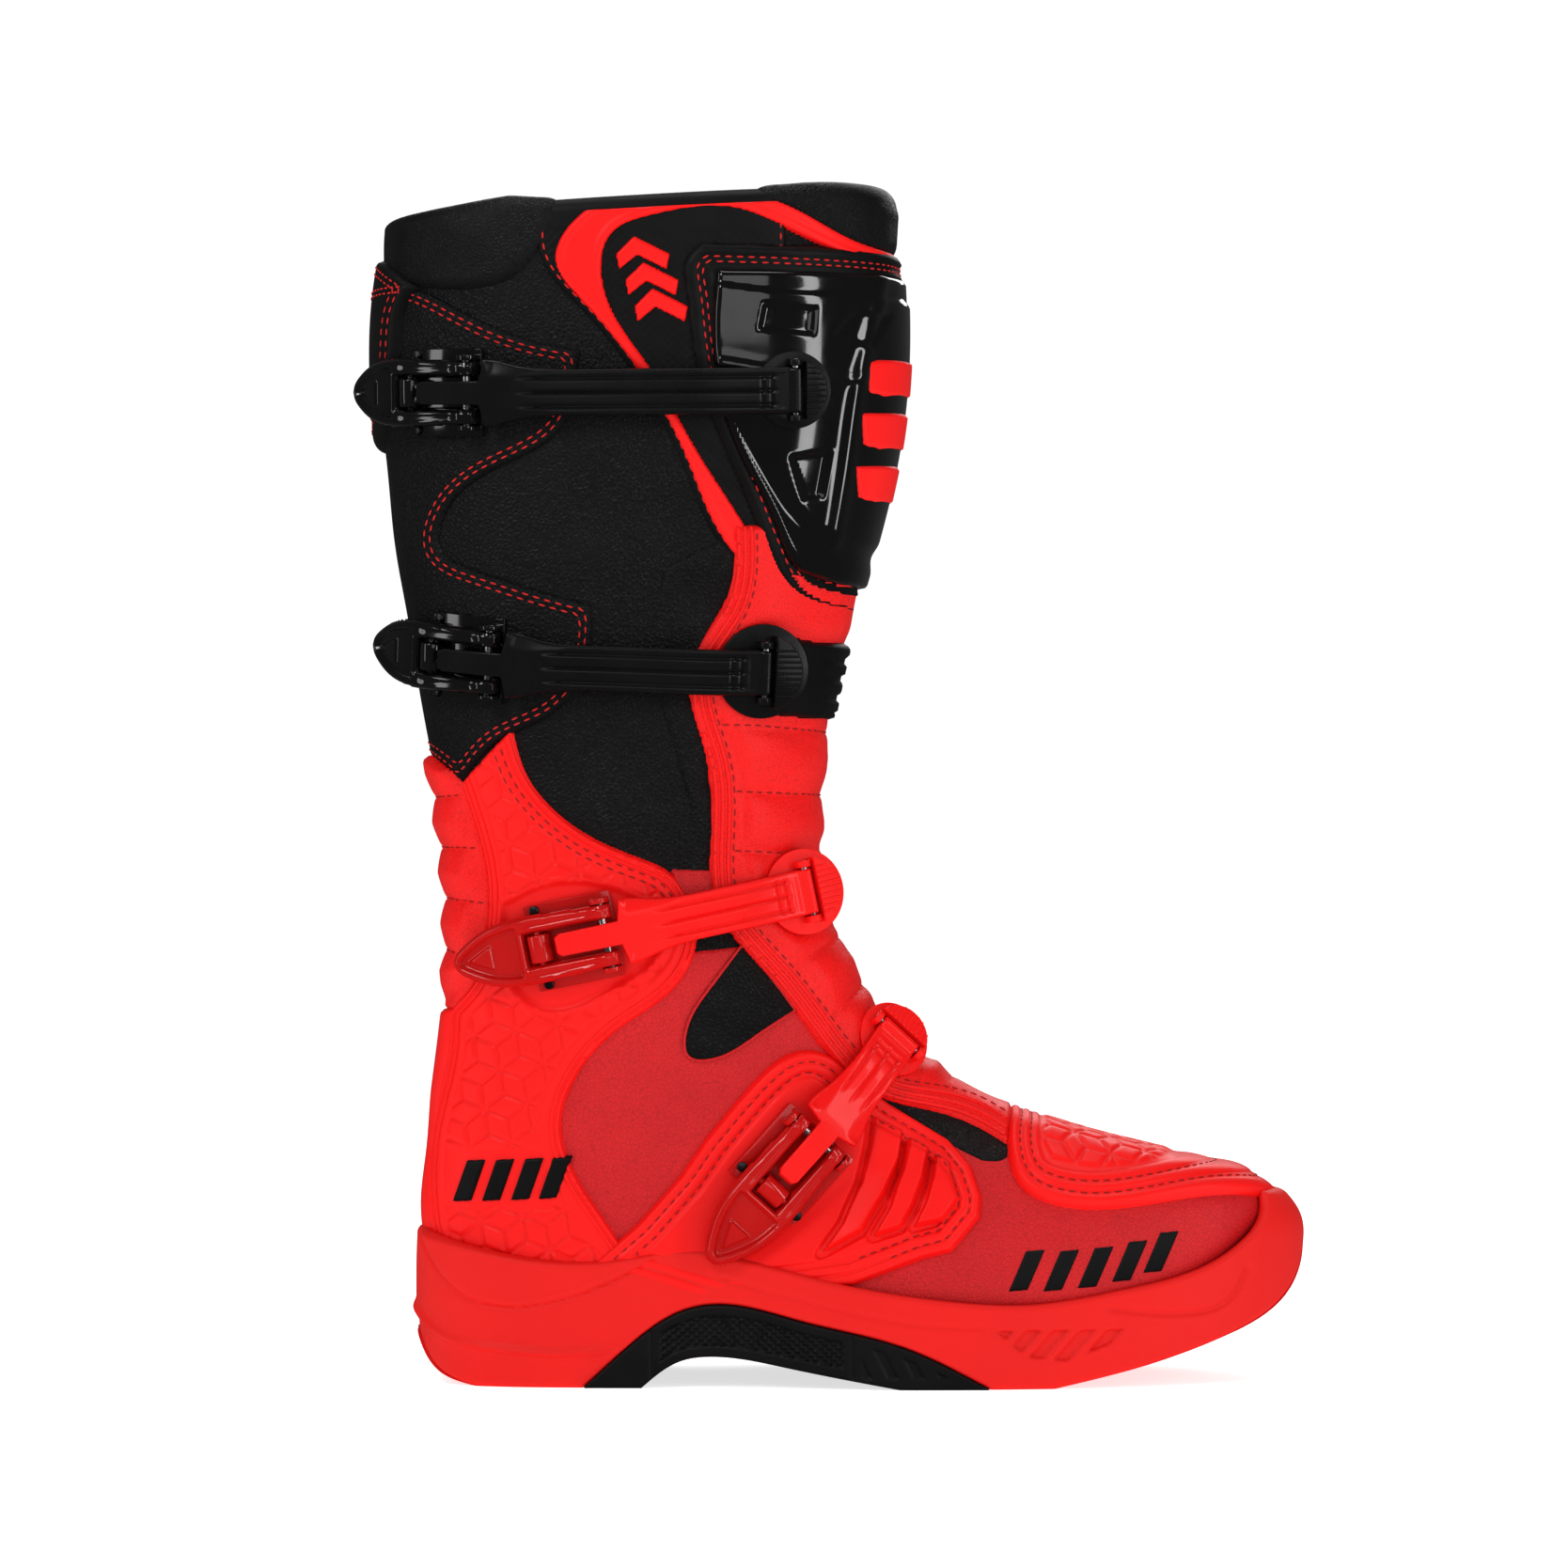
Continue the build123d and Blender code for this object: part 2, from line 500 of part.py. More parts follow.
def make_buckle(name, pivot, mouth, under, turn, tilt, heights, rise, boss):
    """The six pieces of one buckle and its two pins, in their places."""
    foot, foot_normal = surface_at(pivot, under[0])
    end, end_normal = surface_at(mouth, under[1])
    pin = foot + foot_normal * heights[0]
    hinge = end + end_normal * heights[1]
    span = (hinge - pin).length
    chord = (hinge - pin).normalized()
    across = (foot_normal + end_normal).cross(chord).normalized()
    outward = chord.cross(across).normalized()
    seat_up = (foot_normal - across * foot_normal.dot(across)).normalized()
    seat_along = across.cross(seat_up)
    anchor_up = chord * sin(radians(tilt)) + outward * cos(radians(tilt))
    anchor_along = across.cross(anchor_up)
    plan = Plane(origin=pin, x_dir=chord, z_dir=outward)
    profile = Plane(origin=pin, x_dir=chord, z_dir=-across)
    seat_plan = Plane(origin=pin, x_dir=seat_along, z_dir=seat_up)
    seat_profile = Plane(origin=pin, x_dir=seat_along, z_dir=-across)
    anchor_plan = Plane(origin=hinge, x_dir=anchor_along, z_dir=anchor_up)
    anchor_profile = Plane(origin=hinge, x_dir=anchor_along, z_dir=-across)
    seat = (pin, seat_along, seat_up)
    anchor_ways = (anchor_along, anchor_up)
    bend = LEVER_LENGTH / radians(turn)
    nose = polar(0, bend, radians(turn))[0]

    with BuildPart() as lever_pin:
        with BuildSketch(seat_profile):
            Circle(PIN_RADIUS)
        extrude(amount=PIN_HALF_LENGTH, both=True)

    with BuildPart() as strap_pin:
        with BuildSketch(anchor_profile):
            Circle(STRAP_PIN_RADIUS)
        extrude(amount=STRAP_PIN_HALF_LENGTH, both=True)

    rivet_at = polar(-BASE_DROP, bend, RIVET_PLACE / bend)
    rivet_up = (seat_up * cos(RIVET_PLACE / bend) - seat_along * sin(RIVET_PLACE / bend)).normalized()
    with BuildPart() as rivets:
        for side in (-1, 1):
            centre = pin + seat_along * rivet_at[0] + seat_up * rivet_at[1] + across * (side * RIVET_SIDE)
            with BuildSketch(Plane(origin=centre - rivet_up * RIVET_SINK, z_dir=rivet_up)):
                Circle(RIVET_RADIUS)
            extrude(amount=RIVET_SINK + RIVET_RISE)
        add(FORMS[under[0]], mode=Mode.SUBTRACT)

    with BuildPart() as base:
        with BuildSketch(seat_profile):
            with BuildLine():
                draw_band(bend, -BASE_DROP, -BASE_DEPTH, -BASE_FRONT / bend, BASE_BACK / bend)
            make_face()
        extrude(amount=BASE_HALF_WIDTH, both=True)
        for side in (-1, 1):
            with BuildSketch(seat_profile.offset(side * (LUG_FROM + LUG_THICKNESS / 2))):
                Circle(LUG_RADIUS)
                with Locations((0, -BASE_DROP)):
                    Rectangle(2 * LUG_RADIUS, 2 * BASE_DROP)
            extrude(amount=LUG_THICKNESS / 2, both=True)
        add(FORMS[under[0]], mode=Mode.SUBTRACT)
        add(lever_pin.part, mode=Mode.SUBTRACT)
        add(rivets.part, mode=Mode.SUBTRACT)
    keep(f"{name}_base", base.part)

    with BuildPart() as lever:
        with BuildSketch(seat_profile):
            with BuildLine():
                draw_band(bend, LEVER_OVER, -LEVER_UNDER, 0, radians(turn))
            make_face()
            Circle(EYE_RADIUS)
        extrude(amount=LEVER_HALF_WIDTH, both=True)
        with BuildSketch(seat_plan):
            with Locations((nose / 2, 0)):
                SlotOverall(-nose + 2 * LEVER_HALF_WIDTH, 2 * LEVER_HALF_WIDTH)
            with Locations((nose + LEVER_HALF_WIDTH, 0)):
                Ellipse(LEVER_HALF_WIDTH, LEVER_HALF_WIDTH)
            with Locations((nose - LEVER_HALF_WIDTH / 2, 0)):
                Rectangle(LEVER_HALF_WIDTH, 2 * LEVER_HALF_WIDTH, mode=Mode.SUBTRACT)
        extrude(amount=LEVER_LENGTH, both=True, mode=Mode.INTERSECT)
        with BuildSketch(seat_plan):
            with Locations((-FORK_DEPTH / 2 + EYE_RADIUS, 0)):
                Rectangle(FORK_DEPTH + 2 * EYE_RADIUS, 2 * FORK_HALF_WIDTH)
        extrude(amount=LEVER_LENGTH, both=True, mode=Mode.SUBTRACT)
        with BuildSketch(seat_profile):
            Circle(PIN_RADIUS + RUNNING_FIT)
            with Locations(polar(0, bend, CATCH_PLACE / bend)):
                Circle(CATCH_AXLE_RADIUS)
        extrude(amount=CATCH_AXLE_HALF_LENGTH, both=True, mode=Mode.SUBTRACT)
        with BuildSketch(seat_profile):
            Circle(PIN_RADIUS + RUNNING_FIT)
        extrude(amount=PIN_HALF_LENGTH, both=True, mode=Mode.SUBTRACT)
    keep(f"{name}_lever", lever.part)

    with BuildPart() as catch:
        with BuildSketch(seat_profile):
            with Locations(polar(0, bend, CATCH_PLACE / bend)):
                Circle(CATCH_RADIUS)
        extrude(amount=CATCH_HALF_WIDTH, both=True)
        with BuildSketch(seat_profile):
            with Locations(polar(0, bend, CATCH_PLACE / bend)):
                Circle(CATCH_AXLE_RADIUS)
        extrude(amount=CATCH_AXLE_HALF_LENGTH, both=True)
    keep(f"{name}_catch", catch.part)

    with BuildPart() as strap:
        with BuildSketch(profile):
            with BuildLine():
                top = draw_strap_side(profile, seat, anchor_ways, span, rise, 1)
                bottom = draw_strap_side(profile, seat, anchor_ways, span, rise, -1)
                Line(top @ 0, bottom @ 0)
                Line(top @ 1, bottom @ 1)
            make_face()
        extrude(amount=FLARE_HALF_WIDTH, both=True)
        with BuildSketch(plan):
            with BuildLine():
                Polyline((-TONGUE_END, -TONGUE_HALF_WIDTH), (FLARE_FROM, -TONGUE_HALF_WIDTH),
                         (FLARE_FROM, -FLARE_HALF_WIDTH), (FLARE_FROM + FLARE_LENGTH, -FLARE_HALF_WIDTH),
                         (FLARE_FROM + FLARE_LENGTH, -STRAP_HALF_WIDTH), (span, -STRAP_HALF_WIDTH),
                         (span, STRAP_HALF_WIDTH), (FLARE_FROM + FLARE_LENGTH, STRAP_HALF_WIDTH),
                         (FLARE_FROM + FLARE_LENGTH, FLARE_HALF_WIDTH), (FLARE_FROM, FLARE_HALF_WIDTH),
                         (FLARE_FROM, TONGUE_HALF_WIDTH), (-TONGUE_END, TONGUE_HALF_WIDTH),
                         (-TONGUE_END, -TONGUE_HALF_WIDTH))
            make_face()
        extrude(amount=LEVER_LENGTH, both=True, mode=Mode.INTERSECT)
        with BuildSketch(anchor_profile):
            Circle(BARREL_RADIUS)
        extrude(amount=STRAP_HALF_WIDTH, both=True)
        with BuildSketch(anchor_profile):
            Circle(STRAP_PIN_RADIUS + RUNNING_FIT)
        extrude(amount=FLARE_HALF_WIDTH, both=True, mode=Mode.SUBTRACT)
    keep(f"{name}_strap", strap.part)

    with BuildPart() as anchor:
        with BuildSketch(anchor_plan.offset(-ANCHOR_DROP)):
            Circle(boss)
        extrude(amount=-ANCHOR_DEPTH)
        for side in (-1, 1):
            with BuildSketch(anchor_profile.offset(side * (ANCHOR_LUG_FROM + ANCHOR_LUG_THICKNESS / 2))):
                Circle(BARREL_RADIUS)
                with Locations((0, -ANCHOR_DROP / 2)):
                    Rectangle(2 * BARREL_RADIUS, ANCHOR_DROP)
            extrude(amount=ANCHOR_LUG_THICKNESS / 2, both=True)
        add(FORMS[under[1]], mode=Mode.SUBTRACT)
        add(strap_pin.part, mode=Mode.SUBTRACT)
    keep(f"{name}_anchor", anchor.part)

    with BuildPart() as anchor_cover:
        with BuildSketch(anchor_plan.offset(-ANCHOR_DROP)):
            Circle(boss * COVER_SHARE)
            with Locations((COVER_FROM - boss, 0)):
                Rectangle(2 * boss, 2 * boss, mode=Mode.SUBTRACT)
        extrude(amount=ANCHOR_DROP + COVER_RISE)
    keep(f"{name}_anchor_cover", anchor_cover.part)
    print(name, "lever pin", pin, "strap pin", hinge, "axis", across, "span", span)
    return lever_pin.part, strap_pin.part, rivets.part


fasteners = [make_buckle(name, **sizes) for name, sizes in BUCKLES.items()]
for place, name in enumerate(("lever_pins", "strap_pins", "rivets")):
    with BuildPart() as group:
        add([pieces[place] for pieces in fasteners])
    keep(name, group.part)

side_piece("front_band", FRONT_BAND, FLAP, STRIP,
           ["lower_calf_anchor", "lower_calf_anchor_cover", "lower_calf_strap"])

os.makedirs("parts", exist_ok=True)
for name, part in PARTS.items():
    export_step(part, f"parts/{name}.step")
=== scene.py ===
"""Off-road riding boot: the finished look of every piece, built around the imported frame."""
import json
import math

import bmesh
import bpy
import numpy as np
from bpy.props import FloatProperty, FloatVectorProperty, PointerProperty
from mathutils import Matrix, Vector
from mathutils.bvhtree import BVHTree


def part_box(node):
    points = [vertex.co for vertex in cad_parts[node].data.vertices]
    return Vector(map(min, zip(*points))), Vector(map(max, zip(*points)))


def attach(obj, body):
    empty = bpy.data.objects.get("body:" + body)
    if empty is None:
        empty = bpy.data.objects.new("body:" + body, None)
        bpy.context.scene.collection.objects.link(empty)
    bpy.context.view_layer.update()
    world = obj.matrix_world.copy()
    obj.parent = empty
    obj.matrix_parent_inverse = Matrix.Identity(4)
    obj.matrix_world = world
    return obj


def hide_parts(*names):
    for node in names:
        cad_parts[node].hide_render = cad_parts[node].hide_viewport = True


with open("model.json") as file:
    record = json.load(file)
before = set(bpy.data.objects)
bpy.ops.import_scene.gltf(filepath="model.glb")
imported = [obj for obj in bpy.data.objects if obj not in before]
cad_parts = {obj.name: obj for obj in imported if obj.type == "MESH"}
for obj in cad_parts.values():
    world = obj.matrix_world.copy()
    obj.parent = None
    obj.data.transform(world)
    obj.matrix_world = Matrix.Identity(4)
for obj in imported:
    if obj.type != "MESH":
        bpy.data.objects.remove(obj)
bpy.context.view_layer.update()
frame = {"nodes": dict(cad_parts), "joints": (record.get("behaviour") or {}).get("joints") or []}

bl_info = {
    "name": "Off-road riding boot",
    "version": (1, 0, 0),
    "blender": (4, 5, 0),
    "location": "View3D > Sidebar > Boot",
    "description": "Builds a tall off-road riding boot with four buckles",
    "category": "Add Mesh",
}

MM = 0.001
ROUGHEN = 1.0
BUCKLES = ("upper_calf", "lower_calf", "ankle", "instep")
BLACK_BUCKLES = ("upper_calf", "lower_calf")
LEVER_TURN = {"upper_calf": 36.0, "lower_calf": 36.0, "ankle": 22.0, "instep": 3.0}  # degrees over its length
LEVER_LENGTH = 45.0
CATCH_PLACE = 23.4  # from the pin, along the lever
FOREVER = 400.0  # well past the boot, in millimetres
RAY_START = 30.0  # off a buckle, outside all its pieces
SEAM_REACH = 6.0  # how far off its seam a line of stitches may start
DIMPLES = 3.2  # from one dimple to the next
FLOOR_REACH = 9.0  # in metres
WHITE = (1.0, 1.0, 1.0, 1.0)
EYE_PROFILE = ((6.0, 0.01), (6.0, 3.0), (6.3, 3.4), (10.3, 3.4), (10.6, 3.1), (10.6, 0.01))  # place, radius

# Sections of the boot's form in millimetres, from the rim down and forward to the toe:
# rear x, rear z, front x, front z, half width, squareness, taper, shift to the inner side.
STATIONS = (
    (-55.0, 404.0, 118.5, 414.0, 61.0, 2.5, 0.03, 0.0),
    (-58.5, 384.0, 120.0, 393.0, 61.0, 2.5, 0.04, 0.0),
    (-59.5, 350.0, 120.5, 358.0, 60.0, 2.5, 0.05, 0.0),
    (-56.0, 310.0, 115.0, 317.0, 57.0, 2.5, 0.06, 0.0),
    (-49.5, 266.0, 103.0, 272.0, 52.5, 2.5, 0.07, 0.0),
    (-42.5, 226.0, 94.0, 232.0, 48.0, 2.5, 0.06, 0.0),
    (-37.0, 190.0, 91.0, 197.0, 45.0, 2.6, 0.04, 0.0),
    (-35.0, 160.0, 93.5, 170.0, 44.0, 2.7, 0.02, 0.0),
    (-36.5, 132.0, 101.0, 148.0, 43.0, 2.6, 0.00, 0.0),
    (-43.5, 72.0, 129.0, 112.0, 40.0, 2.6, 0.08, 2.0),
    (-41.0, 44.0, 146.0, 100.5, 40.0, 2.7, 0.16, 3.0),
    (-24.0, 24.0, 159.0, 94.5, 41.0, 2.9, 0.22, 4.0),
    (25.0, 19.0, 172.0, 90.0, 43.5, 3.0, 0.24, 5.0),
    (85.0, 17.0, 190.0, 84.5, 46.5, 3.0, 0.21, 5.5),
    (140.0, 14.0, 210.0, 79.5, 48.5, 3.0, 0.18, 6.0),
    (187.0, 18.0, 230.0, 75.0, 44.5, 3.0, 0.15, 6.5),
    (221.0, 27.0, 245.0, 71.0, 35.0, 2.8, 0.10, 7.0),
    (243.0, 38.0, 254.0, 64.0, 20.0, 2.5, 0.05, 7.0),
)
SECTION_POINTS = 20
LAST = len(STATIONS) - 1
SHELL_LIFT = -3.0
LINING_LIFT = -6.5

# Side outlines as x, z runs in millimetres. Two points are a straight edge, more a smooth curve.
SOLE_TOP = ((-70, 62), (-47, 54), (-21, 47.5), (18, 44.5), (50, 48), (70, 44.5), (104, 36), (136, 31),
            (169, 29.5), (201, 34.5), (231, 42.5), (248, 54), (259, 67))
SOLE_NOSE = ((259, 67), (265, 58), (266, 46), (260, 32), (236, 17), (206, 7), (176, 0))
SOLE_HEEL = ((-26, 0), (-40, 5), (-49, 20))
ARCH_TOP = ((12, 0), (29, 15.5), (47, 27), (57, 29), (87, 23.5), (123, 14.5), (153, 0))
ARCH_GAP = ((32, 0), (46, 9.5), (56, 11), (82, 7.5), (122, 0))
SOLE_OUTER = ((-48, 0), (-47, -12), (-38, -28), (-12, -40), (40, -43), (95, -49), (140, -51), (190, -45),
              (236, -31), (259, -13), (266, 7))
SOLE_INNER = ((266, 7), (260, 26), (240, 43), (200, 57), (150, 60), (90, 56), (40, 48.5), (-12, 42),
              (-38, 29), (-47, 13), (-48, 0))
SHIN_PLATE = (
    ((140, 388), (58, 388)),
    ((58, 388), (57, 377), (57.5, 354), (62, 334), (69, 318), (77, 302), (84, 286), (94, 281.5), (107, 280)),
    ((107, 280), (140, 280)),
    ((140, 280), (140, 388)),
)
SHIN_BORDER = (
    ((140, 396), (53, 397)),
    ((53, 397), (48, 392), (48, 380), (50, 362), (57, 336), (67, 312), (76, 289), (83, 277), (92, 272), (106, 270)),
    ((106, 270), (140, 270)),
    ((140, 270), (140, 396)),
)
FLAP_EDGE = ((64, 300), (61, 273), (52, 258), (49, 241), (55, 217), (56, 180), (57, 172), (66, 155), (78, 141),
             (90, 125), (102, 110), (116, 100), (132, 95.5), (148, 90), (160, 83))
FRONT_FLAP = (((140, 300), (64, 300)), FLAP_EDGE, ((160, 83), (166, 125)), ((166, 125), (140, 300)))
COLLAR_REAR = (
    ((-80, 386), (-45, 383)),
    ((-45, 383), (-29, 381.5), (-12, 385.5), (-2, 397), (8, 425)),
    ((8, 425), (-80, 425)),
    ((-80, 425), (-80, 386)),
)
COLLAR_FRONT = (
    ((68, 425), (70, 417), (86, 407), (103, 398.5), (123, 397)),
    ((123, 397), (150, 397)),
    ((150, 397), (150, 425)),
    ((150, 425), (68, 425)),
)
BAND_SIDE = (
    ((150, 397), (104, 400), (84, 410), (66, 415), (28, 414), (12, 407), (3, 391), (12, 377), (32, 352), (48, 323),
     (62, 293), (70, 284)),
    ((70, 284), (75, 288)),
    ((75, 288), (64, 306), (50, 328), (36, 353), (19, 384), (22, 400), (36, 406.5), (66, 409), (84, 402), (108, 392)),
    ((108, 392), (150, 390)),
    ((150, 390), (150, 397)),
)
EMBLEM_PANEL = (
    ((82, 425), (3, 425)),
    ((3, 425), (-2, 392), (14, 372), (30, 352), (46, 323), (60, 293), (70, 282)),
    ((70, 282), (82, 300)),
    ((82, 300), (82, 425)),
)
REAR_PATCH = (
    ((-80, 403), (-61, 402)),
    ((-61, 402), (-54, 391), (-45, 383)),
    ((-45, 383), (-48, 378), (-51, 356), (-56, 336), (-60, 318)),
    ((-60, 318), (-80, 315)),
    ((-80, 315), (-80, 403)),
)
CALF_PANEL = (
    ((-80, 388), (-45, 382), (-30, 374), (-8, 364), (11, 360)),
    ((11, 360), (10, 350), (5, 334), (-21, 318), (-37, 302), (-38, 293), (-24, 284), (0, 276), (15, 272)),
    ((15, 272), (15, 262), (10, 244), (0, 234), (-18, 225), (-30, 211)),
    ((-30, 211), (-45, 222), (-80, 225)),
    ((-80, 225), (-80, 388)),
)
BELLOWS_EDGE = ((-30, 211), (-25, 196), (-21, 178), (-21, 160), (-25, 142), (-34, 131))
BELLOWS_SIDE = (((-80, 226), (-45, 222), (-30, 211)), BELLOWS_EDGE, ((-34, 131), (-80, 126)),
                ((-80, 126), (-80, 226)))
HEEL_EDGE = ((-34, 131), (-35, 115), (-39, 98), (-42, 80), (-41, 56), (-38, 40))
HEEL_COUNTER = (((-80, 126), (-34, 131)), HEEL_EDGE, ((-38, 40), (-80, 40)), ((-80, 40), (-80, 126)))
GUSSET_SIDE = (
    ((40, 285), (70, 300)),
    ((70, 300), (75, 170)),
    ((75, 170), (47, 172)),
    ((47, 172), (50, 190), (46, 215), (38, 240), (40, 285)),
)
GUARD_EDGE = ((-13, 229), (-9, 216), (0, 203), (14, 192), (32, 184), (42, 179), (49, 168), (51, 155), (43, 139),
              (24, 125), (8, 106), (4, 91), (8, 76), (18, 60), (26, 48))
ANKLE_GUARD = (BELLOWS_EDGE[::-1], ((-30, 211), (-13, 229)), GUARD_EDGE, ((26, 48), (26, 30)), ((26, 30), (-38, 30)),
               HEEL_EDGE[::-1])
INSTEP_GUARD = (
    ((15, 43), (23, 50), (31, 57)), ((31, 57), (46, 74)), ((46, 74), (54.5, 86.5)), ((54.5, 86.5), (64, 98)),
    ((64, 98), (72, 107), (80, 114), (88, 117), (97, 115), (104, 109)), ((104, 109), (118, 98)),
    ((118, 98), (139, 85)), ((139, 85), (147, 76)), ((147, 76), (150.5, 66)), ((150.5, 66), (149.8, 59)),
    ((149.8, 59), (140, 47.5)), ((140, 47.5), (130, 45)), ((130, 45), (106, 36)), ((106, 36), (60, 30)),
    ((60, 30), (15, 43)),
)
FLEX_WINDOW = (
    ((67, 155), (55, 139), (47, 124), (48, 115), (57, 114), (72, 122), (86, 131)),
    ((86, 131), (78, 142), (67, 155)),
)
TOE_EDGE = ((170, 130), (162, 98), (160, 82), (165, 69), (176, 63.5), (206, 63), (240, 66), (250, 64), (262, 55))
TOE_CAP = (TOE_EDGE, ((262, 55), (290, 60)), ((290, 60), (290, 130)), ((290, 130), (170, 130)))
HEAT_GUARD = (
    ((3, 318), (42, 318)),
    ((42, 318), (52, 292), (50, 262), (45, 238), (50, 190), (49, 165), (40, 145)),
    ((40, 145), (-5, 150)),
    ((-5, 150), (-12, 200), (-4, 260), (3, 318)),
)
FRONT_BAND = (
    ((140, 260), (106, 261), (90, 260), (78, 263)),
    ((78, 263), (78, 235)),
    ((78, 235), (90, 234), (102, 234), (140, 233)),
    ((140, 233), (140, 260)),
)
# A black strip under the front flap's lower edge: painted shade where the flap overhangs the foot.
FLAP_SHADE_STRIP = (
    ((112, 103), (132, 97), (150, 92), (163, 86)),
    ((163, 86), (159, 79), (151, 78.5)),
    ((151, 78.5), (140, 84), (128, 92), (112, 100)),
    ((112, 100), (112, 103)),
)
CHEVRON = ((24, 393), (30, 399), (42, 393), (41, 388), (31, 393), (25, 388))
LOUVRES = (
    ((112, 94), (122.5, 88), (121.5, 78), (117, 66), (109, 53.5), (94.5, 46), (102, 56), (108, 70), (111, 84)),
    ((124.6, 86), (132, 81.5), (130.6, 71), (127, 62), (122.5, 54.5), (112.5, 51.5), (118.5, 61), (122.5, 73)),
    ((134.4, 79.5), (139.5, 76), (143, 64), (137.5, 57), (126.8, 54.8), (131, 63), (133.5, 71)),
)


# ---------------------------------------------------------------- curves and fields
def curve_weights(knots, at, closed=False):
    """The matrix that turns values at the knots into a smooth curve's values at the places asked for."""
    knots = np.asarray(knots, float)
    steps = np.diff(knots)
    count = len(steps) if closed else len(knots)
    unit = np.eye(count)
    system = np.eye(count)
    change = np.zeros((count, count))
    for i in range(count) if closed else range(1, count - 1):
        before, after = (i - 1) % count, (i + 1) % count
        left, right = steps[i - 1], steps[i]
        system[i] = 0
        system[i, before] += left
        system[i, i] += 2 * (left + right)
        system[i, after] += right
        change[i] = 6 * ((unit[after] - unit[i]) / right - (unit[i] - unit[before]) / left)
    bends = np.linalg.solve(system, change)
    at = np.asarray(at, float)
    if closed:
        at = knots[0] + (at - knots[0]) % (knots[-1] - knots[0])
    cell = np.clip(np.searchsorted(knots, at, side="right") - 1, 0, len(steps) - 1)
    width = steps[cell][:, None]
    b = (at - knots[cell])[:, None] / width
    a = 1 - b
    after = (cell + 1) % count
    return a * unit[cell] + b * unit[after] + ((a**3 - a) * bends[cell] + (b**3 - b) * bends[after]) * width**2 / 6


def smooth(points, step=1.5):
    """Points every step or less along a smooth curve through the given ones."""
    points = np.asarray(points, float)
    knots = np.concatenate(([0], np.cumsum(np.linalg.norm(np.diff(points, axis=0), axis=1))))
    at = np.linspace(0, knots[-1], max(2, int(knots[-1] / step) + 2))
    if len(points) == 2:
        return points[0] + (points[1] - points[0]) * (at / knots[-1])[:, None]
    return curve_weights(knots, at) @ points


def outline(runs):
    """One closed side outline as a fine polygon."""
    return np.vstack([smooth(run, FOREVER if len(run) == 2 else 1.5)[:-1] for run in runs])


def distance(x, z, path, closed=False):
    """How far each place is from a path in the side view."""
    path = np.asarray(path, float)
    best = np.full(x.shape, 1e9)
    ends = np.roll(path, -1, axis=0) if closed else path[1:]
    for (ax, az), (bx, bz) in zip(path if closed else path[:-1], ends):
        dx, dz = bx - ax, bz - az
        share = np.clip(((x - ax) * dx + (z - az) * dz) / max(dx * dx + dz * dz, 1e-9), 0, 1)
        np.minimum(best, (x - ax - share * dx) ** 2 + (z - az - share * dz) ** 2, out=best)
    return np.sqrt(best)


def depth_in(x, z, polygon):
    """How deep each place lies within a polygon in the side view; outside it is negative."""
    polygon = np.asarray(polygon, float)
    inside = np.zeros(x.shape, bool)
    for (ax, az), (bx, bz) in zip(polygon, np.roll(polygon, -1, axis=0)):
        if az != bz:
            inside ^= ((az > z) != (bz > z)) & (x < (bx - ax) * (z - az) / (bz - az) + ax)
    return np.where(inside, 1, -1) * distance(x, z, polygon, closed=True)


def ease(value):
    """A soft step from 0 to 1."""
    value = np.clip(value, 0, 1)
    return value * value * (3 - 2 * value)


def saw(value):
    """A wave of straight flanks, 0.5 at whole numbers and 0 half way between them."""
    return np.abs(value % 1 - 0.5)


def bump(place, at, width):
    """A bell of height 1 at one place of a running measure."""
    return np.exp(-(((place - at) / width) ** 2))


def groove(x, z, path, width, depth):
    """A rounded groove along a path, or a ridge where the depth is negative."""
    return -depth * np.exp(-((distance(x, z, path) / width) ** 2))


def press(x, z, polygon, depth, width):
    """A flat field sunk to a depth within a polygon, with sloping sides of the given width."""
    return -depth * ease(depth_in(x, z, polygon) / width)


def ridge(place, at, width, height):
    """A round ridge at one place of a running measure."""
    return height * np.sqrt(np.clip(1 - ((place - at) / width) ** 2, 0, 1))


def blocks(x, z, size, width, depth, turn=0.15):
    """Fine lines in the pattern of tumbling blocks: hexagons, each split by three spokes."""
    c, s = math.cos(turn), math.sin(turn)
    px, pz = (c * x + s * z) / size, (c * z - s * x) / size
    row = math.sqrt(3)
    best = None
    for shift in (0.0, 0.5):
        cx = (np.round(px / row + shift) - shift) * row
        cz = (np.round(pz / 3.0 + shift) - shift) * 3.0
        here = (px - cx) ** 2 + (pz - cz) ** 2
        if best is None:
            best, qx, qz = here, px - cx, pz - cz
        else:
            nearer = here < best
            qx, qz = np.where(nearer, px - cx, qx), np.where(nearer, pz - cz, qz)
    rim = np.full(x.shape, 9.0)
    for step in range(6):
        angle = math.pi / 3 * step
        rim = np.minimum(rim, row / 2 - (qx * math.cos(angle) + qz * math.sin(angle)))
    for step in range(3):
        angle = math.pi / 2 + 2 * math.pi / 3 * step
        along = qx * math.cos(angle) + qz * math.sin(angle)
        across = np.abs(qz * math.cos(angle) - qx * math.sin(angle))
        rim = np.minimum(rim, np.where(along > 0, across, 9.0))
    return -depth * np.exp(-((rim * size / width) ** 2))


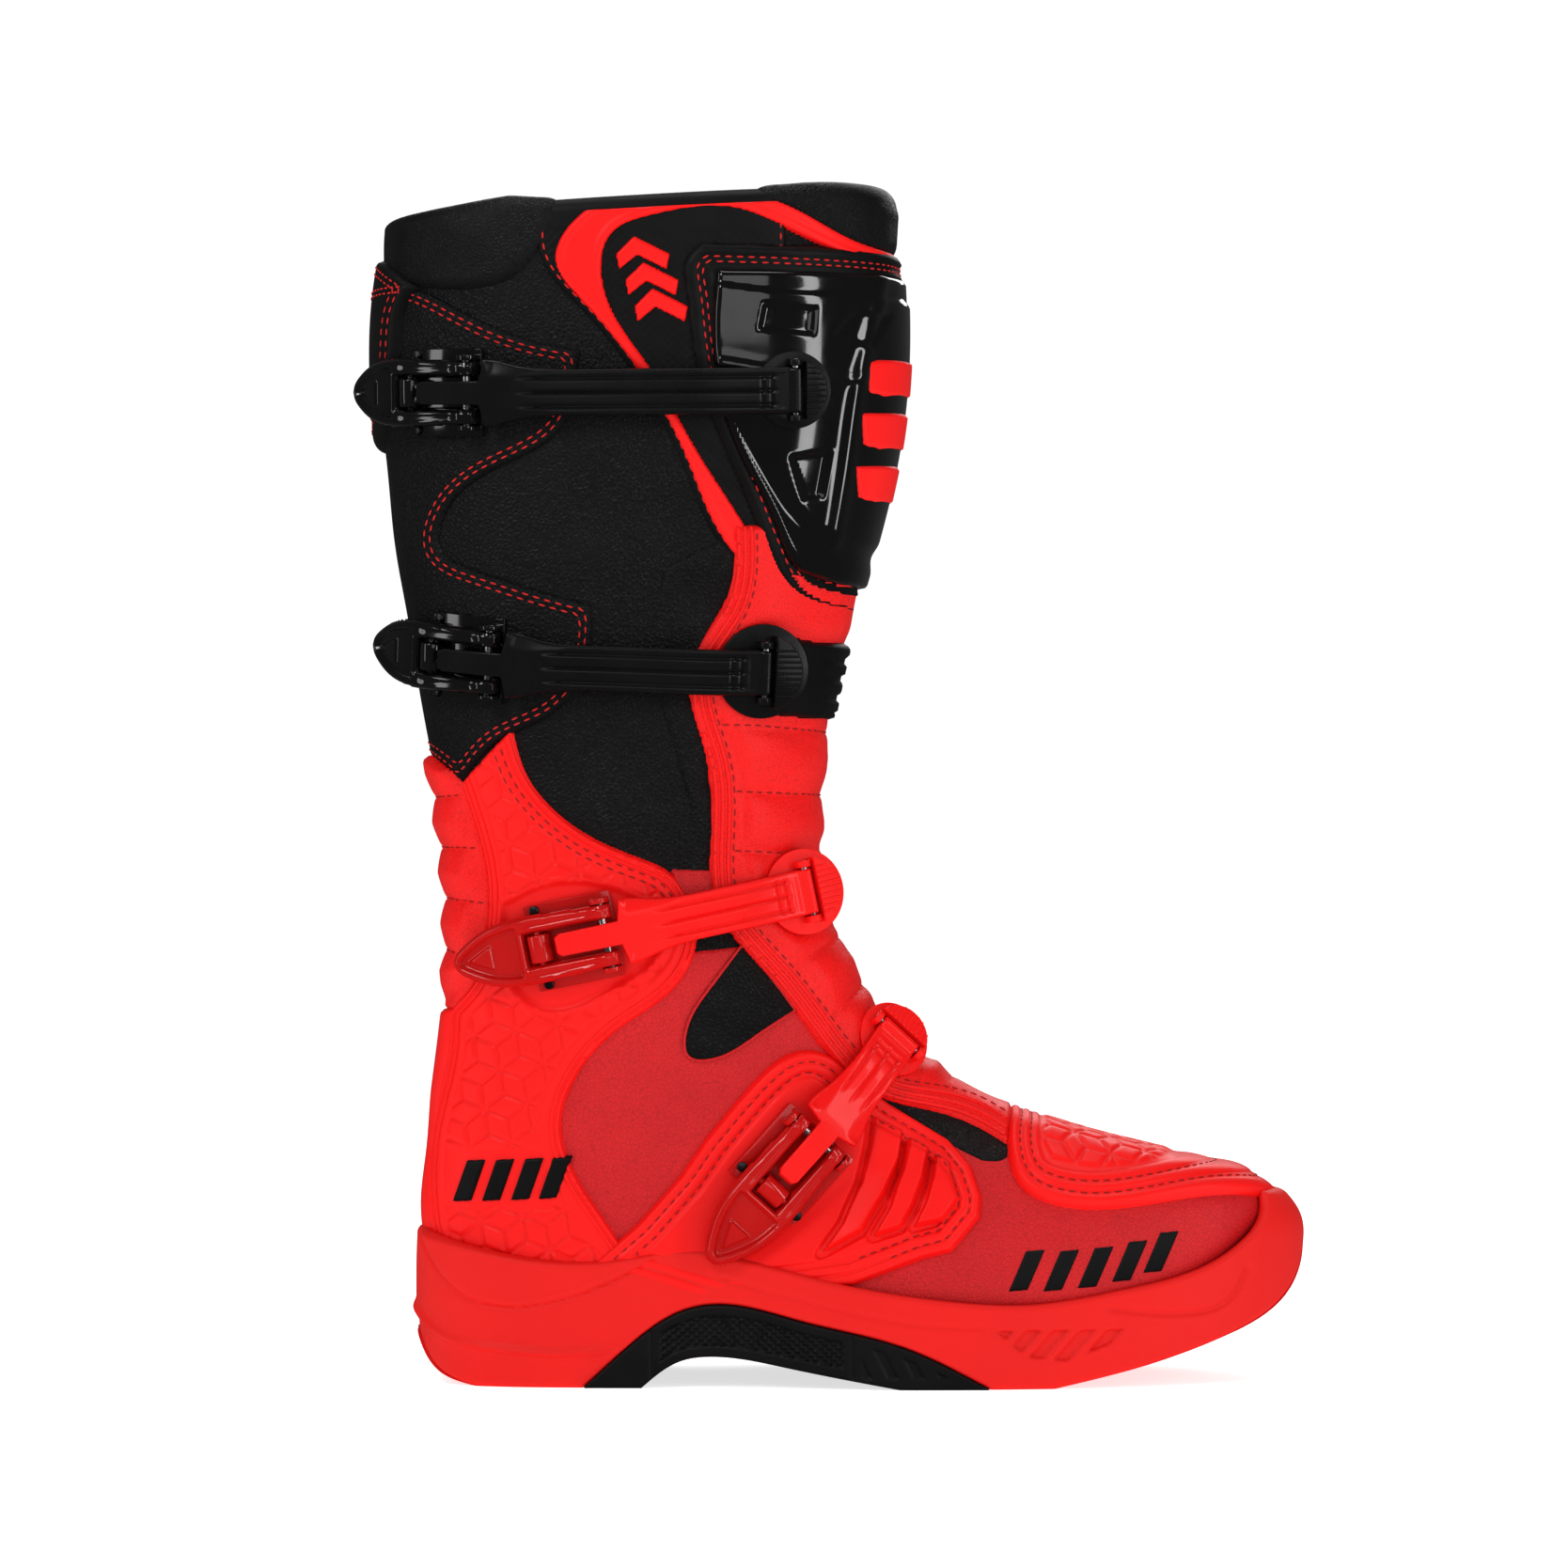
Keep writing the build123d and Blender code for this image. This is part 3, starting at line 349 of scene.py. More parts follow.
# ---------------------------------------------------------------- the boot's form
def section_point(station, turn):
    """A point of one section, at a turn from its front point towards the outer side."""
    rear_x, rear_z, front_x, front_z, half_width, squareness, taper, shift = station
    rear, front = np.array((rear_x, shift, rear_z)), np.array((front_x, shift, front_z))
    half = (front - rear) / 2
    c, s = math.cos(turn), math.sin(turn)
    x = math.copysign(abs(c) ** (2 / squareness), c)
    y = math.copysign(abs(s) ** (2 / squareness), s) * half_width * (1 - taper * x)
    return (rear + front) / 2 + half * x + np.array((0.0, -y, 0.0))


POINTS = np.array([[section_point(s, 2 * math.pi * k / SECTION_POINTS) for k in range(SECTION_POINTS)]
                   for s in STATIONS])
GAPS = np.linalg.norm(np.diff(POINTS, axis=0), axis=2).mean(1)
STATION_KNOTS = np.concatenate(([0], np.cumsum(GAPS)))
ROUND_KNOTS = np.linspace(0, 1, SECTION_POINTS + 1)


def form(u, v):
    """Points of the form and their outward normals, at stations u (0 to LAST) and turns v (0 to 1)."""
    lengths = np.interp(u, np.arange(LAST + 1), STATION_KNOTS)
    rows = curve_weights(STATION_KNOTS, lengths)
    sides = curve_weights(ROUND_KNOTS, v, closed=True)
    points = np.einsum("ui,ijc,vj->uvc", rows, POINTS, sides)
    nudge = 1e-3
    low = curve_weights(STATION_KNOTS, np.clip(lengths - nudge, 0, STATION_KNOTS[-1]))
    high = curve_weights(STATION_KNOTS, np.clip(lengths + nudge, 0, STATION_KNOTS[-1]))
    down = np.einsum("ui,ijc,vj->uvc", high - low, POINTS, sides)
    turn = curve_weights(ROUND_KNOTS, np.asarray(v) + 1e-5, closed=True) - curve_weights(
        ROUND_KNOTS, np.asarray(v) - 1e-5, closed=True)
    around = np.einsum("ui,ijc,vj->uvc", rows, POINTS, turn)
    normals = np.cross(around, down)
    return points, normals / np.maximum(np.linalg.norm(normals, axis=2, keepdims=True), 1e-12)


def evenly(values, lengths, step):
    """Values spread so that each covers about one step of the measured lengths."""
    run = np.concatenate(([0], np.cumsum(lengths)))
    return np.interp(np.linspace(0, run[-1], max(2, math.ceil(run[-1] / step)) + 1), run, values)


def linked(name, data):
    """A new object in the scene."""
    made = bpy.data.objects.new(name, data)
    bpy.context.scene.collection.objects.link(made)
    return made


def plain_copy(made):
    """The mesh of an object with its modifiers and node trees worked out."""
    graph = bpy.context.evaluated_depsgraph_get()
    return bpy.data.meshes.new_from_object(made.evaluated_get(graph), depsgraph=graph)


def new_mesh(name, points, faces, edges=()):
    """A mesh object at the origin from points in millimetres."""
    mesh = bpy.data.meshes.new(name)
    mesh.from_pydata((np.asarray(points) * MM).tolist(), list(edges), faces)
    mesh.update()
    return linked(name, mesh)


def weld(made):
    """Merge doubled points, drop faces with no area and turn the faces outwards."""
    work = bmesh.new()
    work.from_mesh(made.data)
    bmesh.ops.remove_doubles(work, verts=work.verts, dist=2e-6)
    bmesh.ops.dissolve_degenerate(work, edges=work.edges, dist=1e-6)
    bmesh.ops.recalc_face_normals(work, faces=work.faces)
    work.to_mesh(made.data)
    work.free()
    return made


def finish_piece(made, look, body="boot", replaces=(), sharp=None, slot=None):
    """Give a piece its finish and its place in the frame; a slot is worked out from the finish unless it is given, but
    it is not used.
    """
    slot = slot or SLOTS[look]
    made.data.materials.clear()
    made.data.materials.append(LOOKS[look])
    made.data.shade_smooth()
    if sharp:
        made.data.set_sharp_from_angle(angle=math.radians(sharp))
    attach(made, body)
    if replaces:
        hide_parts(*replaces)
    return made


class Patch:
    """A piece of the form's surface: a grid of points, each with a height along its normal."""

    def __init__(self, runs, step=1.0, side="both", front=False, lip=0.0, margin=1.2):
        step *= ROUGHEN
        start = 0.5 if side == "inner" else -0.5 if front else 0.0
        stop = start + (1.0 if side == "both" else 0.5)
        self.edge = outline(runs)
        u, v = np.linspace(0, LAST, 180), np.linspace(start, stop, 200)
        rough = form(u, v)[0]
        near = depth_in(rough[..., 0], rough[..., 2], self.edge) > -margin - 3
        rows, cols = np.flatnonzero(near.any(1)), np.flatnonzero(near.any(0))
        a, b = max(rows[0] - 1, 0), min(rows[-1] + 2, len(u))
        c, d = max(cols[0] - 1, 0), min(cols[-1] + 2, len(v))
        part, used = rough[a:b, c:d], near[a:b, c:d]
        down = np.linalg.norm(np.diff(part, axis=0), axis=2) * (used[1:] | used[:-1])
        across = np.linalg.norm(np.diff(part, axis=1), axis=2) * (used[:, 1:] | used[:, :-1])
        self.u, self.v = evenly(u[a:b], down.max(1), step), evenly(v[c:d], across.max(0), step)
        points, normals = form(self.u, self.v)
        if lip:
            points, normals = self.with_lip(points, normals, lip, step)
        self.hold(points, normals, points[..., 0], points[..., 2], margin)

    def hold(self, points, normals, x, z, margin, slot=None):
        """Keep the grid, the two measures its outline is drawn in, and how deep each place lies within it."""
        self.points, self.normals, self.x, self.z = points, normals, x, z
        self.deep = depth_in(x, z, self.edge)
        if slot is not None:
            self.deep = np.minimum(self.deep, -depth_in(x, z, slot))
        self.mask = self.deep > -margin
        self.height = np.zeros(x.shape)

    @classmethod
    def over(cls, edge, points, normals, x, z, margin=0.6, slot=None):
        """A patch on any other surface that is given as a grid."""
        made = cls.__new__(cls)
        made.edge = np.asarray(edge, float)
        made.hold(points, normals, x, z, margin, slot)
        return made

    def with_lip(self, points, normals, lip, step):
        """Rows that carry the grid over the shaft's rim and down its inner side."""
        rim, out = points[0], normals[0]
        tall = 0.62 + 0.5 * ease((rim[:, :1] + 60) / 60)
        up = np.array((-0.057, 0.0, 0.998)) * tall
        half = -LINING_LIFT / 2
        rows, ways = [], []
        for turn in np.linspace(math.pi, 0, max(8, int(9 * math.pi / step)))[:-1]:
            way = out * math.cos(turn) + up * math.sin(turn)
            rows.append(rim - out * half + way * half)
            ways.append(way)
        below, flat = form(np.linspace(0, lip / 20, max(3, int(lip / step)))[:0:-1], self.v)
        inner = below + flat * LINING_LIFT
        return (np.concatenate((inner, np.array(rows), points)),
                np.concatenate((-flat, np.array(ways), normals)))

    def raise_edge(self, lift, roll=1.4, sink=0.8, spread=0.35):
        """Lift the piece by its thickness, with rounded edges that sink under the surface round it."""
        share = np.clip((self.deep + spread) / (roll + spread), 0, 1)
        self.height += -sink + (lift + sink) * np.sqrt(np.clip(1 - (1 - share) ** 2, 0, 1))
        return self

    def add(self, relief, within=0.0):
        """Add a relief that fades out towards the piece's edge."""
        self.height += relief * ease(self.deep / within) if within else relief
        return self

    def surface(self):
        """The raised points."""
        return self.points + self.normals * self.height[..., None]

    def build(self, name, under=2.0):
        """A closed mesh of the raised surface and its underside."""
        rows, cols = self.x.shape
        index = np.arange(rows * cols).reshape(rows, cols)
        whole = self.mask[1:, 1:] & self.mask[:-1, 1:] & self.mask[1:, :-1] & self.mask[:-1, :-1]
        quads = np.stack((index[:-1, :-1], index[:-1, 1:], index[1:, 1:], index[1:, :-1]), axis=-1)[whole]
        low = self.points - self.normals * under
        used, quads = np.unique(quads, return_inverse=True)
        quads = quads.reshape(-1, 4)
        count = len(used)
        points = np.concatenate((self.surface().reshape(-1, 3)[used], low.reshape(-1, 3)[used]))
        sides = np.stack((quads, np.roll(quads, -1, axis=1)), axis=-1).reshape(-1, 2)
        keys, back = sides[:, 0] * count + sides[:, 1], sides[:, 1] * count + sides[:, 0]
        rim = sides[~np.isin(keys, back)]
        walls = np.stack((rim[:, 1], rim[:, 0], rim[:, 0] + count, rim[:, 1] + count), axis=-1)
        faces = np.concatenate((quads, quads[:, ::-1] + count, walls))
        return new_mesh(name, points, faces.tolist())

    def trace(self, field, level=0.0, where=None, rise=0.0):
        """Lines on the raised surface along which a field has one level, each as points and normals."""
        ok = self.mask if where is None else self.mask & where
        value = field - level
        top = self.surface() + self.normals * rise
        rows, cols = value.shape
        index = np.arange(rows * cols).reshape(rows, cols)
        ids, links = {}, {}
        flat_value, flat_top, flat_normal = value.ravel(), top.reshape(-1, 3), self.normals.reshape(-1, 3)
        sign = value > 0
        mixed = (ok[1:, 1:] & ok[:-1, 1:] & ok[1:, :-1] & ok[:-1, :-1]
                 & ((sign[1:, 1:] != sign[:-1, :-1]) | (sign[:-1, 1:] != sign[1:, :-1])
                    | (sign[1:, 1:] != sign[1:, :-1])))
        for i, j in zip(*np.nonzero(mixed)):
            corners = (index[i, j], index[i, j + 1], index[i + 1, j + 1], index[i + 1, j])
            crossed = []
            for a, b in zip(corners, corners[1:] + corners[:1]):
                if (flat_value[a] > 0) != (flat_value[b] > 0):
                    key = (min(a, b), max(a, b))
                    crossed.append(ids.setdefault(key, len(ids)))
            for a, b in zip(crossed[::2], crossed[1::2]):
                links.setdefault(a, []).append(b)
                links.setdefault(b, []).append(a)
        if not ids:
            return []
        ends = np.array(list(ids))
        share = flat_value[ends[:, 0]] / (flat_value[ends[:, 0]] - flat_value[ends[:, 1]])
        share = share[:, None]
        places = flat_top[ends[:, 0]] * (1 - share) + flat_top[ends[:, 1]] * share
        ways = flat_normal[ends[:, 0]] * (1 - share) + flat_normal[ends[:, 1]] * share
        lines, seen = [], set()
        for begin in sorted(links, key=lambda k: (len(links[k]) != 1, k)):
            if begin in seen:
                continue
            chain = [begin]
            seen.add(begin)
            while True:
                following = [k for k in links[chain[-1]] if k not in seen]
                if not following:
                    break
                chain.append(following[0])
                seen.add(following[0])
            if len(chain) > 3:
                if len(links[begin]) > 1:
                    chain.append(begin)
                lines.append((places[chain], ways[chain]))
        return lines

    def lines(self, field, levels, where=None, rise=0.1):
        """Lines at several levels of a field."""
        return [line for level in levels for line in self.trace(field, level, where, rise)]

    def finish(self, name, look, replaces=None, under=2.0):
        """The built piece with its finish; it stands for the CAD node of its own name unless told otherwise."""
        return finish_piece(self.build(name, under), look, replaces=[name] if replaces is None else replaces)


def above(patch, path):
    """How far the grid's places lie above a path that runs along x."""
    path = np.asarray(path, float)
    order = np.argsort(path[:, 0])
    return patch.z - np.interp(patch.x, path[order, 0], path[order, 1])


def tree_of(made):
    """A search tree over the mesh of an object that sits at the origin."""
    return BVHTree.FromPolygons([v.co.copy() for v in made.data.vertices],
                                [list(p.vertices) for p in made.data.polygons])


def rings(name, rows, loop=False):
    """A closed mesh from rows of points, each a closed ring, joined one to the next."""
    rows = np.asarray(rows, float)
    count, around = rows.shape[:2]
    index = np.arange(count * around).reshape(count, around)
    ahead = np.roll(index, -1, axis=1)
    if loop:
        first, then = index, np.roll(index, -1, axis=0)
        first_ahead, then_ahead = ahead, np.roll(ahead, -1, axis=0)
    else:
        first, then, first_ahead, then_ahead = index[:-1], index[1:], ahead[:-1], ahead[1:]
    faces = np.stack((first, first_ahead, then_ahead, then), axis=-1).reshape(-1, 4)
    return weld(new_mesh(name, rows.reshape(-1, 3), faces.tolist()))


# ---------------------------------------------------------------- rows of stitches and lengths of piping
def node_tree(name, sizes):
    """A Geometry Nodes tree with a path as its first input and named sizes after it."""
    tree = bpy.data.node_groups.new(name, "GeometryNodeTree")
    tree.interface.new_socket("Path", in_out="INPUT", socket_type="NodeSocketGeometry")
    for label, kind, value in sizes:
        socket = tree.interface.new_socket(label, in_out="INPUT", socket_type=kind)
        if value is not None:
            socket.default_value = value
    tree.interface.new_socket("Geometry", in_out="OUTPUT", socket_type="NodeSocketGeometry")
    return tree


def put(tree, kind, settings=None, **joined):
    """Add a node to a Geometry Nodes tree, with its settings and its inputs by name."""
    node = tree.nodes.new(kind)
    for key, value in (settings or {}).items():
        setattr(node, key, value)
    for key, value in joined.items():
        socket = node.inputs[key.replace("_", " ")]
        if isinstance(value, bpy.types.NodeSocket):
            tree.links.new(value, socket)
        else:
            socket.default_value = value
    return node


def stitch_tree():
    """Threads laid end to end along a path, each a small rounded stitch."""
    tree = node_tree("Stitches", (("Pitch", "NodeSocketFloat", 4.0 * MM), ("Length", "NodeSocketFloat", 2.7 * MM),
                                  ("Width", "NodeSocketFloat", 0.75 * MM), ("Height", "NodeSocketFloat", 0.5 * MM),
                                  ("Thread", "NodeSocketMaterial", None)))
    inlet = put(tree, "NodeGroupInput")
    line = put(tree, "GeometryNodeMeshToCurve", Mesh=inlet.outputs["Path"])
    spaced = put(tree, "GeometryNodeResampleCurve", {"mode": "LENGTH"}, Curve=line.outputs["Curve"],
                 Length=inlet.outputs["Pitch"])
    bead = put(tree, "GeometryNodeMeshUVSphere", Segments=8, Rings=5, Radius=0.5)
    tangent = put(tree, "GeometryNodeInputTangent")
    upward = put(tree, "GeometryNodeInputNamedAttribute", {"data_type": "FLOAT_VECTOR"}, Name="up")
    turn = put(tree, "FunctionNodeAxesToRotation", {"primary_axis": "X", "secondary_axis": "Z"})
    tree.links.new(tangent.outputs["Tangent"], turn.inputs["Primary Axis"])
    tree.links.new(upward.outputs["Attribute"], turn.inputs["Secondary Axis"])
    size = put(tree, "ShaderNodeCombineXYZ", X=inlet.outputs["Length"], Y=inlet.outputs["Width"],
               Z=inlet.outputs["Height"])
    placed = put(tree, "GeometryNodeInstanceOnPoints", Points=spaced.outputs["Curve"], Instance=bead.outputs["Mesh"],
                 Rotation=turn.outputs["Rotation"], Scale=size.outputs["Vector"])
    real = put(tree, "GeometryNodeRealizeInstances", Geometry=placed.outputs["Instances"])
    painted = put(tree, "GeometryNodeSetMaterial", Geometry=real.outputs["Geometry"], Material=inlet.outputs["Thread"])
    outlet = put(tree, "NodeGroupOutput")
    tree.links.new(painted.outputs["Geometry"], outlet.inputs["Geometry"])
    return tree


def piping_tree():
    """A round cord sewn along a path."""
    tree = node_tree("Piping", (("Radius", "NodeSocketFloat", 0.8 * MM), ("Spacing", "NodeSocketFloat", 1.6 * MM),
                                ("Cover", "NodeSocketMaterial", None)))
    inlet = put(tree, "NodeGroupInput")
    line = put(tree, "GeometryNodeMeshToCurve", Mesh=inlet.outputs["Path"])
    spaced = put(tree, "GeometryNodeResampleCurve", {"mode": "LENGTH"}, Curve=line.outputs["Curve"],
                 Length=inlet.outputs["Spacing"])
    circle = put(tree, "GeometryNodeCurvePrimitiveCircle", Resolution=8, Radius=inlet.outputs["Radius"])
    tube = put(tree, "GeometryNodeCurveToMesh", Curve=spaced.outputs["Curve"], Profile_Curve=circle.outputs["Curve"],
               Fill_Caps=True)
    real = put(tree, "GeometryNodeRealizeInstances", Geometry=tube.outputs["Mesh"])
    painted = put(tree, "GeometryNodeSetMaterial", Geometry=real.outputs["Geometry"], Material=inlet.outputs["Cover"])
    outlet = put(tree, "NodeGroupOutput")
    tree.links.new(painted.outputs["Geometry"], outlet.inputs["Geometry"])
    return tree


def along(name, lines, tree, look, sizes, slot=None):
    """Run a Geometry Nodes tree along laid lines and keep its plain mesh."""
    points, ups, edges = [], [], []
    for places, ways in lines:
        first = len(points)
        points.extend(places)
        ups.extend(ways)
        edges.extend((first + k, first + k + 1) for k in range(len(places) - 1))
    path = new_mesh(name + "_path", points, [], edges)
    up = path.data.attributes.new("up", "FLOAT_VECTOR", "POINT")
    up.data.foreach_set("vector", np.asarray(ups, np.float32).ravel())
    modifier = path.modifiers.new("Run", "NODES")
    modifier.node_group = tree
    for item in tree.interface.items_tree:
        if item.in_out == "INPUT" and item.socket_type == "NodeSocketMaterial":
            modifier[item.identifier] = LOOKS[look]
        elif item.in_out == "INPUT" and item.name in sizes:
            modifier[item.identifier] = sizes[item.name] * MM
    path.update_tag()
    mesh = plain_copy(path)
    bpy.data.objects.remove(path)
    if not mesh.polygons:
        raise RuntimeError(f"{name} came out empty")
    mesh.name = name
    made = linked(name, mesh)
    work = bmesh.new()
    work.from_mesh(mesh)
    bmesh.ops.recalc_face_normals(work, faces=work.faces)
    work.to_mesh(mesh)
    work.free()
    return finish_piece(made, look, slot=slot)


# ---------------------------------------------------------------- finishes
class Value:
    """A node output with Python's arithmetic."""

    def __init__(self, tree, out):
        self.tree, self.out = tree, out

    def calculate(self, operation, first, second=None):
        """One Math node."""
        node = self.tree.nodes.new("ShaderNodeMath")
        node.operation = operation
        for socket, value in zip(node.inputs, (first, second)):
            if isinstance(value, Value):
                self.tree.links.new(value.out, socket)
            elif value is not None:
                socket.default_value = value
        return Value(self.tree, node.outputs[0])

    def __add__(self, other):
        return self.calculate("ADD", self, other)

    def __radd__(self, other):
        return self.calculate("ADD", other, self)

    def __sub__(self, other):
        return self.calculate("SUBTRACT", self, other)

    def __rsub__(self, other):
        return self.calculate("SUBTRACT", other, self)

    def __mul__(self, other):
        return self.calculate("MULTIPLY", self, other)

    def __rmul__(self, other):
        return self.calculate("MULTIPLY", other, self)


class Finish:
    """A material and the nodes added to it."""

    def __init__(self, name, roughness=0.5, **constants):
        self.material = bpy.data.materials.new(name)
        self.material.use_nodes = True
        self.tree = self.material.node_tree
        self.shader = self.tree.nodes["Principled BSDF"]
        self.shader.inputs["Roughness"].default_value = roughness
        for key, value in constants.items():
            self.shader.inputs[key.replace("_", " ")].default_value = value
        self.place = self.node("ShaderNodeTexCoord", out="Object")

    def node(self, kind, settings=None, out=0, **inputs):
        """Add a node; its settings come first, then its inputs by name."""
        node = self.tree.nodes.new(kind)
        for key, value in (settings or {}).items():
            setattr(node, key, value)
        for key, value in inputs.items():
            self.join(value, node.inputs[key.replace("_", " ")])
        return Value(self.tree, node.outputs[out])

    def join(self, value, socket):
        """Link a value to a socket, or set it."""
        if isinstance(value, Value):
            self.tree.links.new(value.out, socket)
        else:
            socket.default_value = value

    def noise(self, scale, detail=3.0, roughness=0.55):
        """Soft noise; the scale counts its features in a metre."""
        return self.node("ShaderNodeTexNoise", Vector=self.place, Scale=scale, Detail=detail, Roughness=roughness)

    def cells(self, scale, feature="F1"):
        """Distance to the nearest cell centre, or to the nearest cell edge."""
        return self.node("ShaderNodeTexVoronoi", {"feature": feature}, out="Distance", Vector=self.place, Scale=scale)

    def span(self, value, low, high, start=0.0, stop=1.0):
        """Map a range of a value to another range, clamped."""
        return self.node("ShaderNodeMapRange", Value=value, From_Min=low, From_Max=high, To_Min=start, To_Max=stop)

    def blend(self, share, first, second):
        """Mix two colours."""
        node = self.tree.nodes.new("ShaderNodeMix")
        node.data_type = "RGBA"
        self.join(share, node.inputs["Factor"])
        for colour, socket in ((first, node.inputs[6]), (second, node.inputs[7])):
            self.join(colour if isinstance(colour, Value) else (*colour[:3], 1.0), socket)
        return Value(self.tree, node.outputs[2])

    def wear(self, colour, roughness=None, height=None, strength=0.3, depth=0.3):
        """Join the colour, the roughness and the bump to the shader."""
        self.join(colour, self.shader.inputs["Base Color"])
        if roughness is not None:
            self.join(roughness, self.shader.inputs["Roughness"])
        if height is not None:
            bump = self.node("ShaderNodeBump", out="Normal", Strength=strength, Distance=depth * MM, Height=height)
            self.join(bump, self.shader.inputs["Normal"])
        return self.material


def leather(name, colour, shade, pebble, strength, rough):
    """Grained leather: pebbled cells with fine creases and a soft change of tone."""
    made = Finish(name, Specular_IOR_Level=0.25)
    grain = made.span(made.cells(pebble, "DISTANCE_TO_EDGE"), 0.0, 0.32) + made.noise(pebble * 1.7) * 0.5
    tone = made.span(made.noise(38.0, 4.0), 0.3, 0.72)
    body = made.blend(tone, shade, colour)
    dark = made.span(grain, 0.12, 0.6)
    return made.wear(made.blend(dark, tuple(c * 0.72 for c in shade), body),
                     made.span(made.noise(140.0), 0.3, 0.7, rough - 0.05, rough + 0.07), grain, strength, 0.35)


def moulded(name, colour, shade, rough, grain, coat=0.0, shine=0.22):
    """Moulded plastic or rubber: a fine skin texture and a faint change of tone."""
    made = Finish(name, Coat_Weight=coat, Coat_Roughness=0.05, Specular_IOR_Level=shine)
    tone = made.span(made.noise(22.0, 5.0), 0.3, 0.7)
    fine = made.noise(1700.0, 2.0) + made.noise(5200.0, 1.0) * 0.4
    return made.wear(made.blend(tone, shade, colour),
                     made.span(made.noise(90.0, 4.0), 0.3, 0.7, rough - 0.04, rough + 0.05), fine, grain, 0.12)


def thread(name, colour):
    """Twisted thread: fine slanting ply lines."""
    made = Finish(name, roughness=0.6)
    ply = made.node("ShaderNodeTexWave", Vector=made.place, Scale=900.0, Distortion=1.5)
    return made.wear(made.blend(ply, tuple(c * 0.55 for c in colour), colour), None, ply, 0.5, 0.1)


def mesh_cloth(name, colour):
    """Knitted spacer lining: rows of small open cells."""
    made = Finish(name, roughness=0.85)
    holes = made.span(made.cells(420.0), 0.15, 0.5)
    fuzz = made.noise(1500.0)
    return made.wear(made.blend(holes, tuple(c * 0.25 for c in colour), colour), None, holes + fuzz * 0.3, 0.7, 0.6)


def metal(name, colour, rough):
    """Plated steel with fine turning marks."""
    made = Finish(name, Metallic=1.0)
    marks = made.noise(900.0, 6.0)
    return made.wear(made.blend(marks, tuple(c * 0.8 for c in colour), colour),
                     made.span(marks, 0.3, 0.7, rough - 0.08, rough + 0.1), marks, 0.1, 0.05)


def tinted(colour, share):
    """A colour multiplied by a share."""
    return tuple(c * share for c in colour[:3])


LOOKS = {}
TREES = {}
SLOTS = {
    "black_leather": "leather_black", "pad_leather": "leather_black", "deep_leather": "leather_red",
    "flap_leather": "leather_red", "bright_plastic": "plastic_red", "gloss_red": "plastic_red",
    "strap_red": "plastic_red", "sole_rubber": "sole_rubber_red", "black_rubber": "rubber_black",
    "satin_black": "plastic_black", "gloss_black": "plastic_black", "lining": "foam_fabric",
    "bright_steel": "steel", "dark_steel": "steel",
}


class BootColours(bpy.types.PropertyGroup):
    """The boot's colours and the thread's size."""

    bright: FloatVectorProperty(name="Bright red", description="Moulded guards, flap and straps", subtype="COLOR",
                                size=3, default=(0.86, 0.009, 0.008), min=0, max=1)
    deep: FloatVectorProperty(name="Deep red", description="Grained leather of the foot", subtype="COLOR", size=3,
                              default=(0.62, 0.015, 0.019), min=0, max=1)
    sole: FloatVectorProperty(name="Sole red", description="Rubber of the sole", subtype="COLOR", size=3,
                              default=(0.74, 0.013, 0.010), min=0, max=1)
    black: FloatVectorProperty(name="Black", description="Leather of the shaft", subtype="COLOR", size=3,
                               default=(0.009, 0.009, 0.0095), min=0, max=1)
    stitch_pitch: FloatProperty(name="Stitch pitch", description="From one stitch to the next", default=0.0040,
                                min=0.001, max=0.02, subtype="DISTANCE", unit="LENGTH")
    stitch_length: FloatProperty(name="Stitch length", description="Length of one stitch", default=0.0027,
                                 min=0.0005, max=0.02, subtype="DISTANCE", unit="LENGTH")


class BootSizes(bpy.types.PropertyGroup):
    """How far the layers stand off the boot's form."""

    flap_lift: FloatProperty(name="Flap", description="Thickness of the padded front flap", default=0.0036,
                             min=0.001, max=0.01, subtype="DISTANCE", unit="LENGTH")
    guard_lift: FloatProperty(name="Guards", description="Thickness of the moulded guards", default=0.0020,
                              min=0.001, max=0.01, subtype="DISTANCE", unit="LENGTH")
    camera_distance: FloatProperty(name="Camera distance", description="From the boot's middle plane to the camera",
                                   default=2.315, min=0.5, max=10, subtype="DISTANCE", unit="LENGTH")


